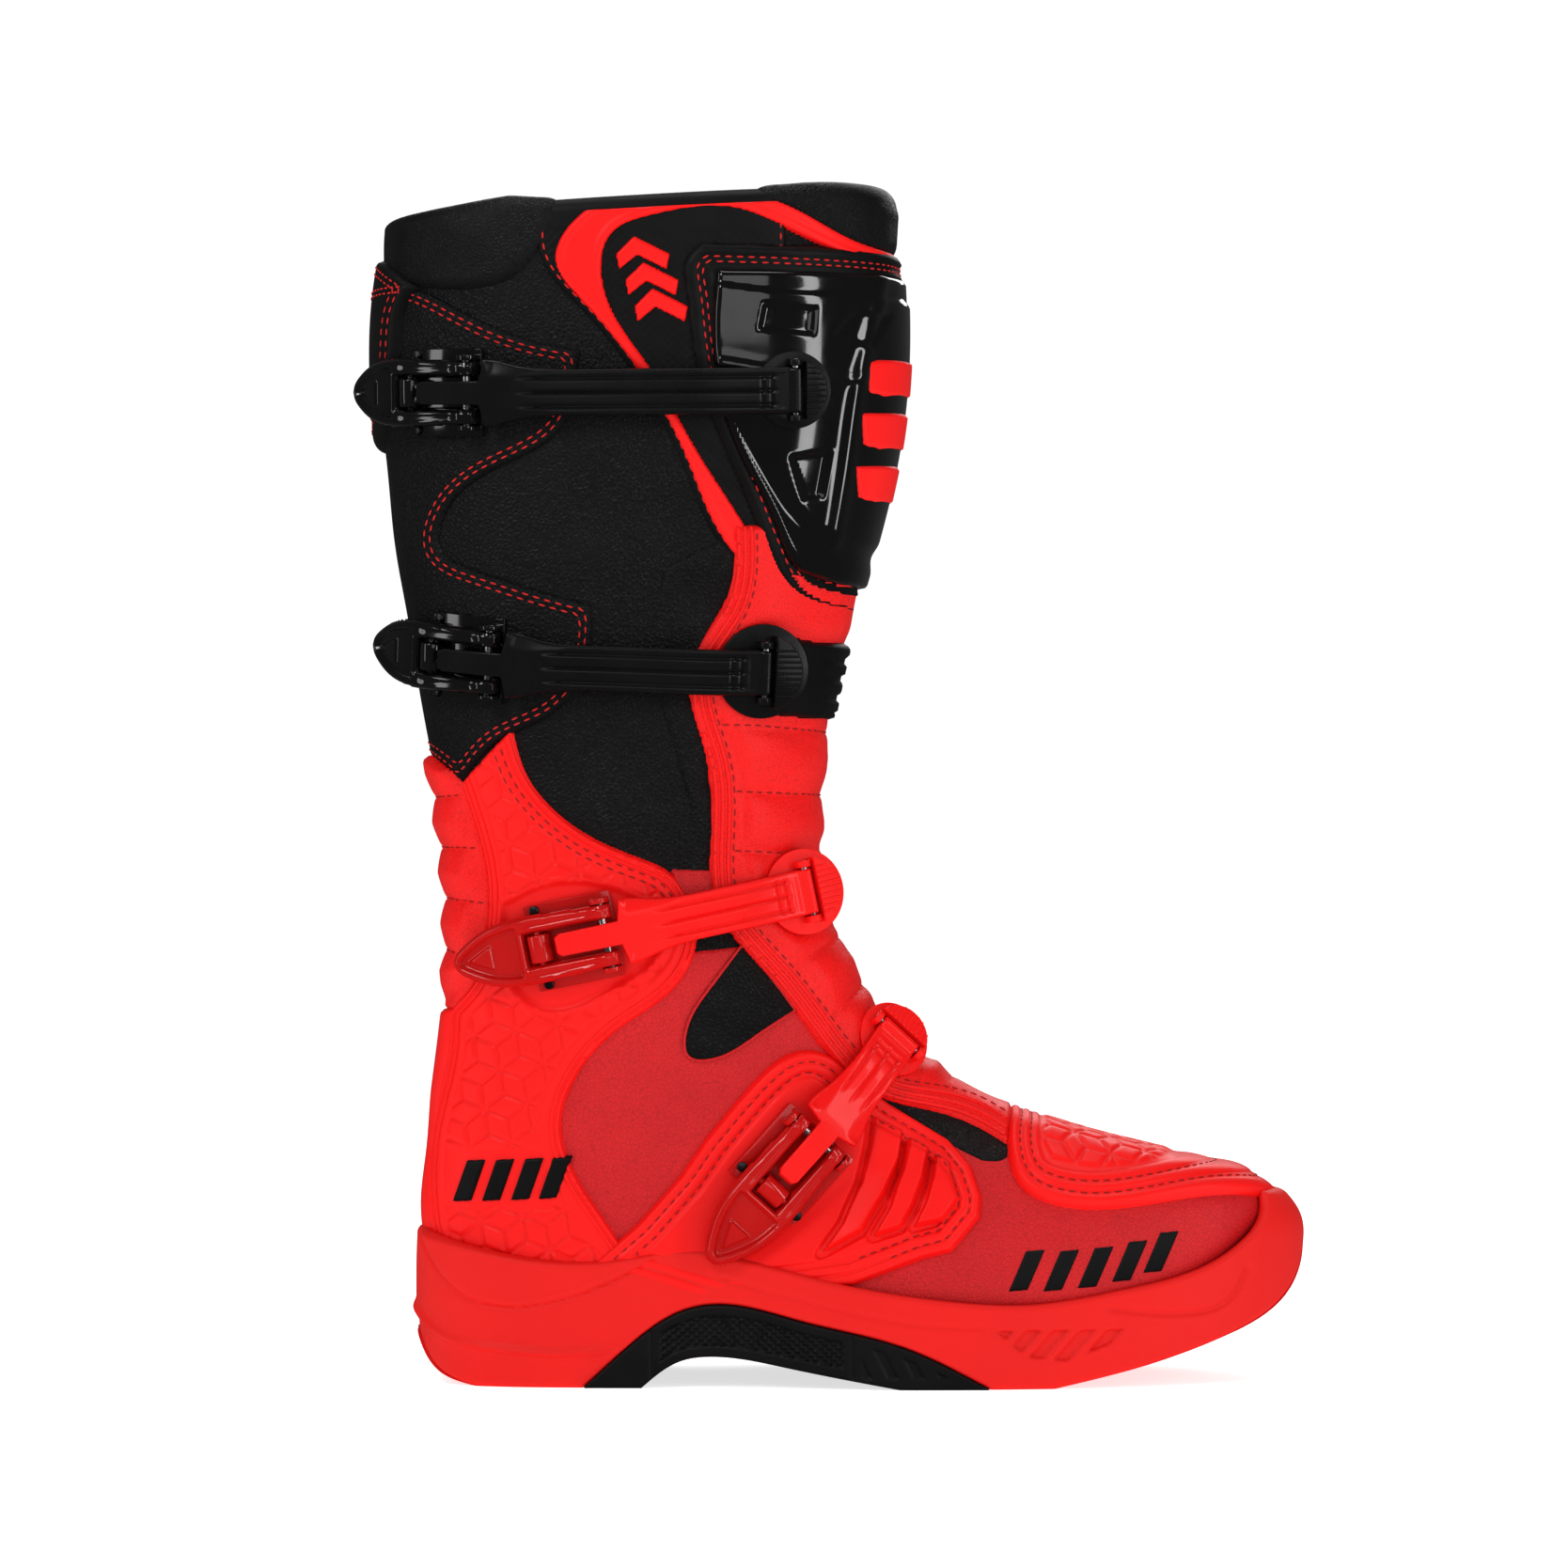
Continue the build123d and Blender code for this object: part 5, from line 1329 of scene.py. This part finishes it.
class BOOT_OT_guards(bpy.types.Operator):
    """Make the heel counter, the ankle guards, the heat guard, the instep guard and the flex window"""

    bl_idname = "boot.guards"
    bl_label = "Moulded guards"

    def execute(self, context):
        lift = context.scene.boot_sizes.guard_lift / MM
        heel = Patch(HEEL_COUNTER, 1.1)
        heel.raise_edge(3.2, roll=2.4)
        heel.finish("heel_counter", "bright_plastic")

        front_edge, rear_edge = smooth(GUARD_EDGE), np.vstack((smooth(BELLOWS_EDGE), smooth(HEEL_EDGE)))
        bowl = smooth(((-15.7, 168.9), (-4, 175), (9.2, 177.1), (30, 172), (40, 163), (38, 150), (22, 138), (8, 131),
                       (-4.6, 131.5), (-14, 142), (-15.7, 168.9)))
        plain = ((-42, 84), (0, 84), (2, 61), (-42, 61))
        for side in ("outer", "inner"):
            guard = Patch(ANKLE_GUARD, 0.72, side=side)
            x, z = guard.x, guard.z
            guard.raise_edge(lift - 0.2, roll=1.4)
            front, rear = distance(x, z, front_edge), distance(x, z, rear_edge)
            field = ease((front - 7.5) / 1.2) * ease((rear - 5.5) / 1.2) * (1 - ease(depth_in(x, z, plain)))
            if side == "outer":
                field = field * (1 - ease(depth_in(x, z, bowl) + 0.6))
                guard.add(press(x, z, bowl, 0.8, 3.0) - groove(x, z, bowl, 1.2, 0.7))
            guard.add(field * (0.4 + blocks(x, z, 8.6, 0.6, 1.0)))
            guard.add(ridge(front, 6.2, 1.0, 0.5) + ridge(rear, 4.6, 1.0, 0.6))
            guard.finish(f"ankle_guard_{side}", "bright_plastic")
            shown = (guard.deep > 0.5) & (z > 46)
            piped(f"ankle_piping_{side}", guard.lines(front, (1.2, 3.2), shown & (rear > 3), -0.15)
                  + guard.lines(rear, (1.2, 3.0), shown & (front > 3), -0.15), "bright_plastic", 0.75)
            stitched(f"ankle_stitches_{side}", guard.lines(front, (4.5, 6.8), (z > 168) & (guard.deep > 3)),
                     "plastic_red", "dark_thread", 0.6)

        heat = Patch(HEAT_GUARD, 1.2, side="inner")
        heat.raise_edge(2.2, roll=1.6)
        covered = depth_in(heat.x, heat.z, outline(ANKLE_GUARD))
        heat.add(-0.9 * ease((0.3 - saw(heat.z / 11.0)) / 0.12), within=9.0)
        heat.add(-3.2 * ease((covered + 1) / 2.0))
        heat.finish("inner_heat_guard", "black_rubber")
        stitched("heat_guard_stitches", heat.lines(heat.deep, (2.6,), covered < -2), "rubber_black")

        guard = Patch(INSTEP_GUARD, 0.74, side="outer")
        x, z, deep = guard.x, guard.z, guard.deep
        guard.raise_edge(2.6, roll=1.8)
        guard.add(ridge(deep, 1.9, 1.6, 0.7) + ridge(deep, 5.6, 1.5, 0.8) + 0.9 * ease((deep - 8.6) / 1.2))
        for louvre in LOUVRES:
            within = depth_in(x, z, louvre)
            guard.add(-1.5 * ease(1.4 - np.abs(within + 0.7) / 1.2) * (deep > 8.6))
            guard.add(ease(within / 0.9) * (1.3 + 1.5 * ease((x - 92 - (z - 46) * 0.45) / 16)))
        guard.finish("instep_guard", "bright_plastic")
        stitched("instep_stitches", guard.lines(deep, (3.8, 7.5), z > 45), "plastic_red", "dark_thread", 0.55)

        window = Patch(FLEX_WINDOW, 0.9, side="outer")
        window.raise_edge(0.75, roll=1.0, sink=0.4)
        window.add(0.3 * np.sin(window.z * 0.35 + window.x * 0.2) + 0.3, within=5.0)
        window.finish("flex_window", "black_leather")
        piped("window_rim", window.lines(window.deep, (0.4,), rise=0.2), "deep_leather", 0.55)
        return {"FINISHED"}


class BOOT_OT_trim(bpy.types.Operator):
    """Make the black strip of painted shade under the flap's lower edge and the small stitched tab of the gusset"""

    bl_idname = "boot.trim"
    bl_label = "Trim"

    def execute(self, context):
        # Painted shade: a black leather strip laid in the gap under the flap's lower edge.
        gap = Patch(FLAP_SHADE_STRIP, 0.8, side="outer")
        gap.raise_edge(0.8, roll=0.8, sink=0.4)
        gap.finish("flap_shade_strip", "black_leather", ())
        tab = Patch(straight(((43, 180), (57, 180), (58, 170), (45, 171))), 0.6, side="outer")
        tab.raise_edge(1.3, roll=0.6, sink=0.4)
        tab.finish("gusset_tab", "deep_leather", ())
        stitched("gusset_tab_stitches", tab.lines(tab.deep, (1.4,)), "leather_red", wide=0.6)
        return {"FINISHED"}


class BOOT_OT_toe(bpy.types.Operator):
    """Make the moulded toe cap"""

    bl_idname = "boot.toe"
    bl_label = "Toe cap"

    def execute(self, context):
        cap = Patch(TOE_CAP, 0.9, front=True)
        edge = distance(cap.x, cap.z, smooth(TOE_EDGE))
        cap.raise_edge(2.8, roll=2.0)
        cap.add(ridge(edge, 2.2, 1.5, 0.7) + ridge(edge, 6.3, 1.2, 0.7) + ridge(edge, 9.6, 1.2, 0.6))
        pattern = blocks(cap.x + 0.2 * cap.z, cap.points[..., 1] * 0.9, 8.0, 0.7, 0.9, 0.4)
        cap.add(ease((edge - 12) / 1.5) * (0.9 + pattern))
        cap.finish("toe_cap", "bright_plastic")
        stitched("toe_stitches", cap.lines(edge, (4.3, 8.0), cap.deep > 1), "plastic_red", "dark_thread", 0.55)
        return {"FINISHED"}


class BOOT_OT_marks(bpy.types.Operator):
    """Make the plain black blocks on the heel and on the toe's side"""

    bl_idname = "boot.marks"
    bl_label = "Plain marks"

    def execute(self, context):
        for name, lift, places, tall, lean in (
                ("heel_marks", 2.9, ((-33, 64), (-23, 64.5), (-13, 65), (-3.5, 65.5)), 15.0, 5.0),
                ("toe_marks", 0.75, ((160, 34), (172, 34), (184, 35), (196, 37), (207, 40)), 14.0, 6.0)):
            bars = [((x, z), (x + 6.2, z + 0.5), (x + 6.2 + lean, z + tall), (x + lean, z + tall - 0.5))
                    for x, z in places]
            flat_marks(name, "black_rubber", bars, lift, 0.5, 0.3, 0.5, 0.25, side="outer", margin=0.9)
        return {"FINISHED"}


def cad_copy(node, name, look, body="boot", bevel=0.4, segments=2):
    """A CAD node's shape with its edges rounded."""
    made = linked(name, frame["nodes"][node].data.copy())
    work = bmesh.new()
    work.from_mesh(made.data)
    bmesh.ops.remove_doubles(work, verts=work.verts, dist=1e-5)
    bmesh.ops.dissolve_limit(work, angle_limit=math.radians(2.0), verts=work.verts, edges=work.edges)
    work.to_mesh(made.data)
    work.free()
    rounding = made.modifiers.new("Edges", "BEVEL")
    rounding.width = bevel * MM
    rounding.segments = segments
    rounding.limit_method = "ANGLE"
    rounding.angle_limit = math.radians(38)
    mesh = plain_copy(made)
    made.modifiers.clear()
    made.data = mesh
    return finish_piece(made, look, body, [node], sharp=45)


def cast(tree, start, way):
    """Where a ray from a place in millimetres meets a surface, as the place and its normal, or None."""
    hit, normal, _, _ = tree.ray_cast(Vector(start * MM), Vector(way))
    return None if hit is None else (np.array(hit) / MM, np.array(normal))


def buckle_axes(name):
    """A buckle's pin and hinge in millimetres, and its directions: along the strap, across it and outwards."""
    joints = {j["name"]: j for j in frame["joints"]}
    lever, strap = joints[f"{name}_lever_hinge"], joints[f"{name}_strap_hinge"]
    pin, hinge = np.array(lever["pos_m"]) / MM, np.array(strap["pos_m"]) / MM
    chord = (hinge - pin) / np.linalg.norm(hinge - pin)
    across = np.array(lever["axis"], float)
    across /= np.linalg.norm(across)
    outward = np.cross(chord, across)
    if outward[1] > 0:
        outward, across = -outward, -across
    return pin, hinge, chord, across, outward


def lever_shape(name, look):
    """The lever: two arms on the pin, and a scooped nose with a raised three-cornered mark."""
    pin, _, _, across, outward = buckle_axes(name)
    bend = LEVER_LENGTH / math.radians(LEVER_TURN[name])
    low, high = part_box(f"{name}_catch")
    way = np.array((low + high) / 2) / MM - pin
    way -= across * way.dot(across)
    way /= np.linalg.norm(way)
    lifted = outward - across * outward.dot(across) - way * outward.dot(way)
    lifted /= np.linalg.norm(lifted)
    half = CATCH_PLACE / bend / 2
    rear = way * math.cos(half) + lifted * math.sin(half)
    up = lifted * math.cos(half) - way * math.sin(half)
    step = 0.45 * ROUGHEN
    run, side = np.meshgrid(np.linspace(-5.0, 57.5, int(62 / step)), np.linspace(-12.4, 12.4, int(25 / step)),
                            indexing="ij")
    angle = (run / bend)[..., None]
    normals = rear * np.sin(angle) + up * np.cos(angle)
    points = pin + rear * bend * np.sin(angle) + up * bend * (np.cos(angle) - 1) + across * side[..., None]
    if np.dot(np.cross(rear, across), up) > 0:
        points, normals, run, side = points[:, ::-1], normals[:, ::-1], run[:, ::-1], side[:, ::-1]
    flank = smooth(((-3.4, 10.4), (8, 10.8), (22, 11.4), (34, 11.2), (44, 9.0), (51, 5.6), (55, 2.4), (56, 0)), 1.0)
    edge = np.vstack((((-3.4, -9.0),), ((-3.4, 9.0),), flank, (flank * (1, -1))[::-1][1:]))
    opening = ((-8, -6.0), (28.4, -6.0), (28.4, 6.0), (-8, 6.0))
    arm = Patch.over(edge, points, normals, run, side, slot=opening)
    arm.raise_edge(2.9, roll=1.6, sink=-0.4, spread=0.2)
    arm.add(-1.9 * ease((depth_in(run, side, edge) - 2.0) / 1.6) * ease((run - 30.0) / 1.2))
    arm.add(-0.5 * ease((run - 2) / 4) * ease((28 - run) / 4) * ease((arm.deep - 1.0) / 1.2))
    arm.add(0.9 * ease(depth_in(run, side, ((50.0, 0.0), (40.5, -4.4), (40.5, 4.4))) / 0.7 + 0.4))
    arm.add(0.8 * bump(run, 1.5, 2.6))
    parts = [arm.build("arm", under=1.5)]
    turns = np.linspace(0, 2 * math.pi, 28, endpoint=False)
    ring = rear * np.cos(turns)[:, None] + up * np.sin(turns)[:, None]
    for way_out in (-1, 1):
        parts.append(rings("eye", [pin + across * way_out * place + ring * radius for place, radius in EYE_PROFILE]))
    finish_piece(join(f"{name}_lever_shape", parts), look, f"{name}_lever_arm", [f"{name}_lever"], sharp=45)


def cover_shape(name, look):
    """The ribbed half disc beyond the strap's mouth."""
    tree = tree_of(cad_copy(f"{name}_anchor_cover", f"{name}_cover_shape", look, "boot", 0.8, 3))
    _, hinge, chord, across, outward = buckle_axes(name)
    lines = []
    for share in np.linspace(-0.72, 0.72, 9):
        hits = [cast(tree, hinge + chord * reach + across * (share * 11) + outward * RAY_START, -outward)
                for reach in np.linspace(2.0, 20.0, 40)]
        hits = [hit for hit in hits if hit is not None and hit[1].dot(outward) >= 0.8]
        if len(hits) > 6:
            lines.append(tuple(np.array(part) for part in zip(*hits)))
    if lines:
        along(f"{name}_cover_ribs", lines, TREES["piping"], look, {"Radius": 0.45, "Spacing": 1.0})


def strap_shape(name, look):
    """The strap with its tongue, its wings and three grooves along its band."""
    pin, hinge, chord, across, outward = buckle_axes(name)
    tree = tree_of(frame["nodes"][f"{name}_strap"])
    span = float(np.linalg.norm(hinge - pin))
    profile = []
    for x in np.linspace(-17.6, span + 1.6, int((span + 19) / (0.8 * ROUGHEN))):
        hits = [cast(tree, pin + chord * x + outward * RAY_START * way, -outward * way) for way in (1, -1)]
        if None not in hits:
            profile.append((x, *(np.dot(place - pin, outward) for place, _ in hits)))
    profile = np.array(profile)
    calm = profile[:, 0] < span - 6
    blend = ease((span - 6 - profile[:, 0]) / 4)
    for column in (1, 2):
        shape = np.polynomial.Polynomial.fit(profile[calm, 0], profile[calm, column], 9)
        profile[:, column] = profile[:, column] * (1 - blend) + shape(profile[:, 0]) * blend
    columns = np.linspace(-1, 1, int(49 / ROUGHEN))
    corner = np.sqrt(np.clip(1 - np.clip((np.abs(columns) - 0.86) / 0.14, 0, 1) ** 2, 0, 1))
    rows = []
    for x, high, base in profile:
        half = np.interp(x, (-17.6, -16.0, 4.6, 5.8, 9.0, 13.0, 18.0, 24.0, 31.0, span),
                         (2.8, 4.0, 4.2, 11.4, 11.3, 10.6, 9.3, 8.4, 8.0, 8.0))
        y = columns * half
        band = ease((x - 16) / 8) * ease((span - 6 - x) / 3)
        lift = -0.8 * band * sum(bump(y, place, 0.6) for place in (-4.9, 0.0, 4.9))
        lift -= (0.6 * ease((0.22 - saw((x - (span - 13)) / 3.2)) / 0.08) * ease(x - span + 14) * ease(span - 4.5 - x)
                 * ease((6.4 - np.abs(y)) / 0.6))
        wing = ease((x - 6) / 3) * ease((30 - x) / 8) * 1.3 * ease((np.abs(y) - 5.0) / 6.0)
        centre, thick = (high + base) / 2, (high - base) / 2 * corner
        ring_y = np.concatenate((y, y[::-1]))
        ring_z = np.concatenate((centre + thick + lift - wing, (centre - thick - wing)[::-1]))
        rows.append(pin + chord * x + across * ring_y[:, None] + outward * ring_z[:, None])
    first, last = (np.broadcast_to(row.mean(0), row.shape) for row in (rows[0], rows[-1]))
    made = rings(f"{name}_strap_shape", [first, *rows, last])
    finish_piece(made, look, f"{name}_strap_band", [f"{name}_strap"], sharp=60)


class BOOT_OT_buckles(bpy.types.Operator):
    """Make the four buckles: levers, catches, straps, bases, anchors and covers"""

    bl_idname = "boot.buckles"
    bl_label = "Buckles"

    def execute(self, context):
        for name in BUCKLES:
            dark = name in BLACK_BUCKLES
            lever_look, strap_look = ("gloss_black", "satin_black") if dark else ("gloss_red", "strap_red")
            body_look = "satin_black" if dark else "bright_plastic"
            lever_shape(name, lever_look)
            cad_copy(f"{name}_catch", f"{name}_catch_shape", lever_look, f"{name}_lever_arm", 0.5)
            cad_copy(f"{name}_base", f"{name}_base_shape", lever_look, bevel=0.7)
            cad_copy(f"{name}_anchor", f"{name}_anchor_shape", body_look, "boot", 1.2, 3)
            cover_shape(name, body_look)
            strap_shape(name, strap_look)
        for node, look, bevel in (("lever_pins", "bright_steel", 0.3), ("strap_pins", "bright_steel", 0.3),
                                  ("rivets", "dark_steel", 0.4)):
            cad_copy(node, f"{node}_shape", look, bevel=bevel)
        band = Patch(FRONT_BAND, 0.9, front=True)
        band.raise_edge(6.0, roll=2.0, sink=-2.5)
        band.add(-1.2 * ease((0.26 - saw((band.z - 238.5) / 6.6)) / 0.08) * ease((band.x - 90) / 1.5)
                 * ease((106 - band.x) / 3) * ease(band.deep / 3))
        band.finish("front_band", "black_rubber", under=-2.5)
        return {"FINISHED"}


class BOOT_OT_inside(bpy.types.Operator):
    """Give the pieces inside the boot their finishes"""

    bl_idname = "boot.inside"
    bl_label = "Inside pieces"

    def execute(self, context):
        for node, look in (("insole_board", "board"), ("footbed", "lining"), ("steel_shank", "dark_steel")):
            made = frame["nodes"][node]
            made.data.materials.clear()
            made.data.materials.append(LOOKS[look])
        return {"FINISHED"}


class BOOT_OT_stage(bpy.types.Operator):
    """Make the floor, the lights and the camera"""

    bl_idname = "boot.stage"
    bl_label = "Stage"

    def execute(self, context):
        scene = context.scene
        plane = bpy.data.meshes.new("floor")
        corners = [(x * FLOOR_REACH, y * FLOOR_REACH, 0) for x, y in ((-1, -1), (1, -1), (1, 1), (-1, 1))]
        plane.from_pydata(corners, [], [(0, 1, 2, 3)])
        floor = linked("floor", plane)
        pale = Finish("floor_pale", roughness=0.7, Emission_Color=WHITE, Emission_Strength=0.72, Specular_IOR_Level=0.0)
        floor.data.materials.append(pale.wear(pale.blend(pale.noise(2.0), (0.88, 0.88, 0.88), (0.91, 0.91, 0.91))))
        floor.visible_glossy = False
        scene.view_settings.view_transform = "Standard"
        scene.view_settings.gamma = 0.9
        world = bpy.data.worlds.new("studio")
        world.use_nodes = True
        tree = world.node_tree
        rays = tree.nodes.new("ShaderNodeLightPath")
        seen, spread = Value(tree, rays.outputs["Is Camera Ray"]), Value(tree, rays.outputs["Is Glossy Ray"])
        strength = 0.40 + seen * 0.62 - spread * 0.33
        tree.links.new(strength.out, tree.nodes["Background"].inputs["Strength"])
        tree.nodes["Background"].inputs["Color"].default_value = WHITE
        scene.world = world
        target = Vector((0.09, 0.0, 0.2))
        for label, place, power, wide, tall in (
                ("key", (-1.0, -1.7, 1.6), 15.0, 0.7, 0.9), ("strip_right", (1.2, -0.9, 0.45), 5.0, 0.20, 1.3),
                ("fill", (0.7, -2.2, 0.7), 4.0, 1.2, 0.8), ("top", (0.1, 0.1, 1.9), 9.0, 1.0, 1.0),
                ("strip_left", (-1.3, -0.5, 0.5), 2.5, 0.20, 1.3), ("rear", (0.3, 1.6, 1.1), 9.0, 1.2, 1.0)):
            data = bpy.data.lights.new(label, "AREA")
            data.shape = "RECTANGLE"
            data.size, data.size_y = wide, tall
            data.energy = power
            light = linked(label, data)
            light.location = place
            light.rotation_euler = (target - Vector(place)).to_track_quat("-Z", "Y").to_euler()
        data = bpy.data.cameras.new("camera")
        data.lens = 150.0
        data.sensor_width = 36.0
        camera = linked("camera", data)
        camera.location = (0.0817, -scene.boot_sizes.camera_distance, 0.2102)
        camera.rotation_euler = (math.radians(90), 0, 0)
        scene.camera = camera
        return {"FINISHED"}


STEPS = (BOOT_OT_prepare, BOOT_OT_shaft, BOOT_OT_sole, BOOT_OT_collar, BOOT_OT_shin, BOOT_OT_emblem, BOOT_OT_calf,
         BOOT_OT_flap, BOOT_OT_bellows, BOOT_OT_guards, BOOT_OT_trim, BOOT_OT_toe, BOOT_OT_marks, BOOT_OT_buckles,
         BOOT_OT_inside, BOOT_OT_stage)


class BOOT_PT_panel(bpy.types.Panel):
    """The boot's sizes, colours and building steps"""

    bl_idname = "BOOT_PT_panel"
    bl_label = "Riding boot"
    bl_space_type = "VIEW_3D"
    bl_region_type = "UI"
    bl_category = "Boot"

    def draw(self, context):
        for group in (context.scene.boot_colours, context.scene.boot_sizes):
            for key in group.__annotations__:
                self.layout.prop(group, key)
        for step in STEPS:
            self.layout.operator(step.bl_idname)


CLASSES = (BootColours, BootSizes, *STEPS, BOOT_PT_panel)


def register():
    for cls in CLASSES:
        bpy.utils.register_class(cls)
    bpy.types.Scene.boot_colours = PointerProperty(type=BootColours)
    bpy.types.Scene.boot_sizes = PointerProperty(type=BootSizes)


def unregister():
    del bpy.types.Scene.boot_sizes
    del bpy.types.Scene.boot_colours
    for cls in reversed(CLASSES):
        bpy.utils.unregister_class(cls)


def main():
    register()
    for step in STEPS:
        group, name = step.bl_idname.split(".")
        getattr(getattr(bpy.ops, group), name)()
        print("built", name, flush=True)


if __name__ == "__main__":
    main()
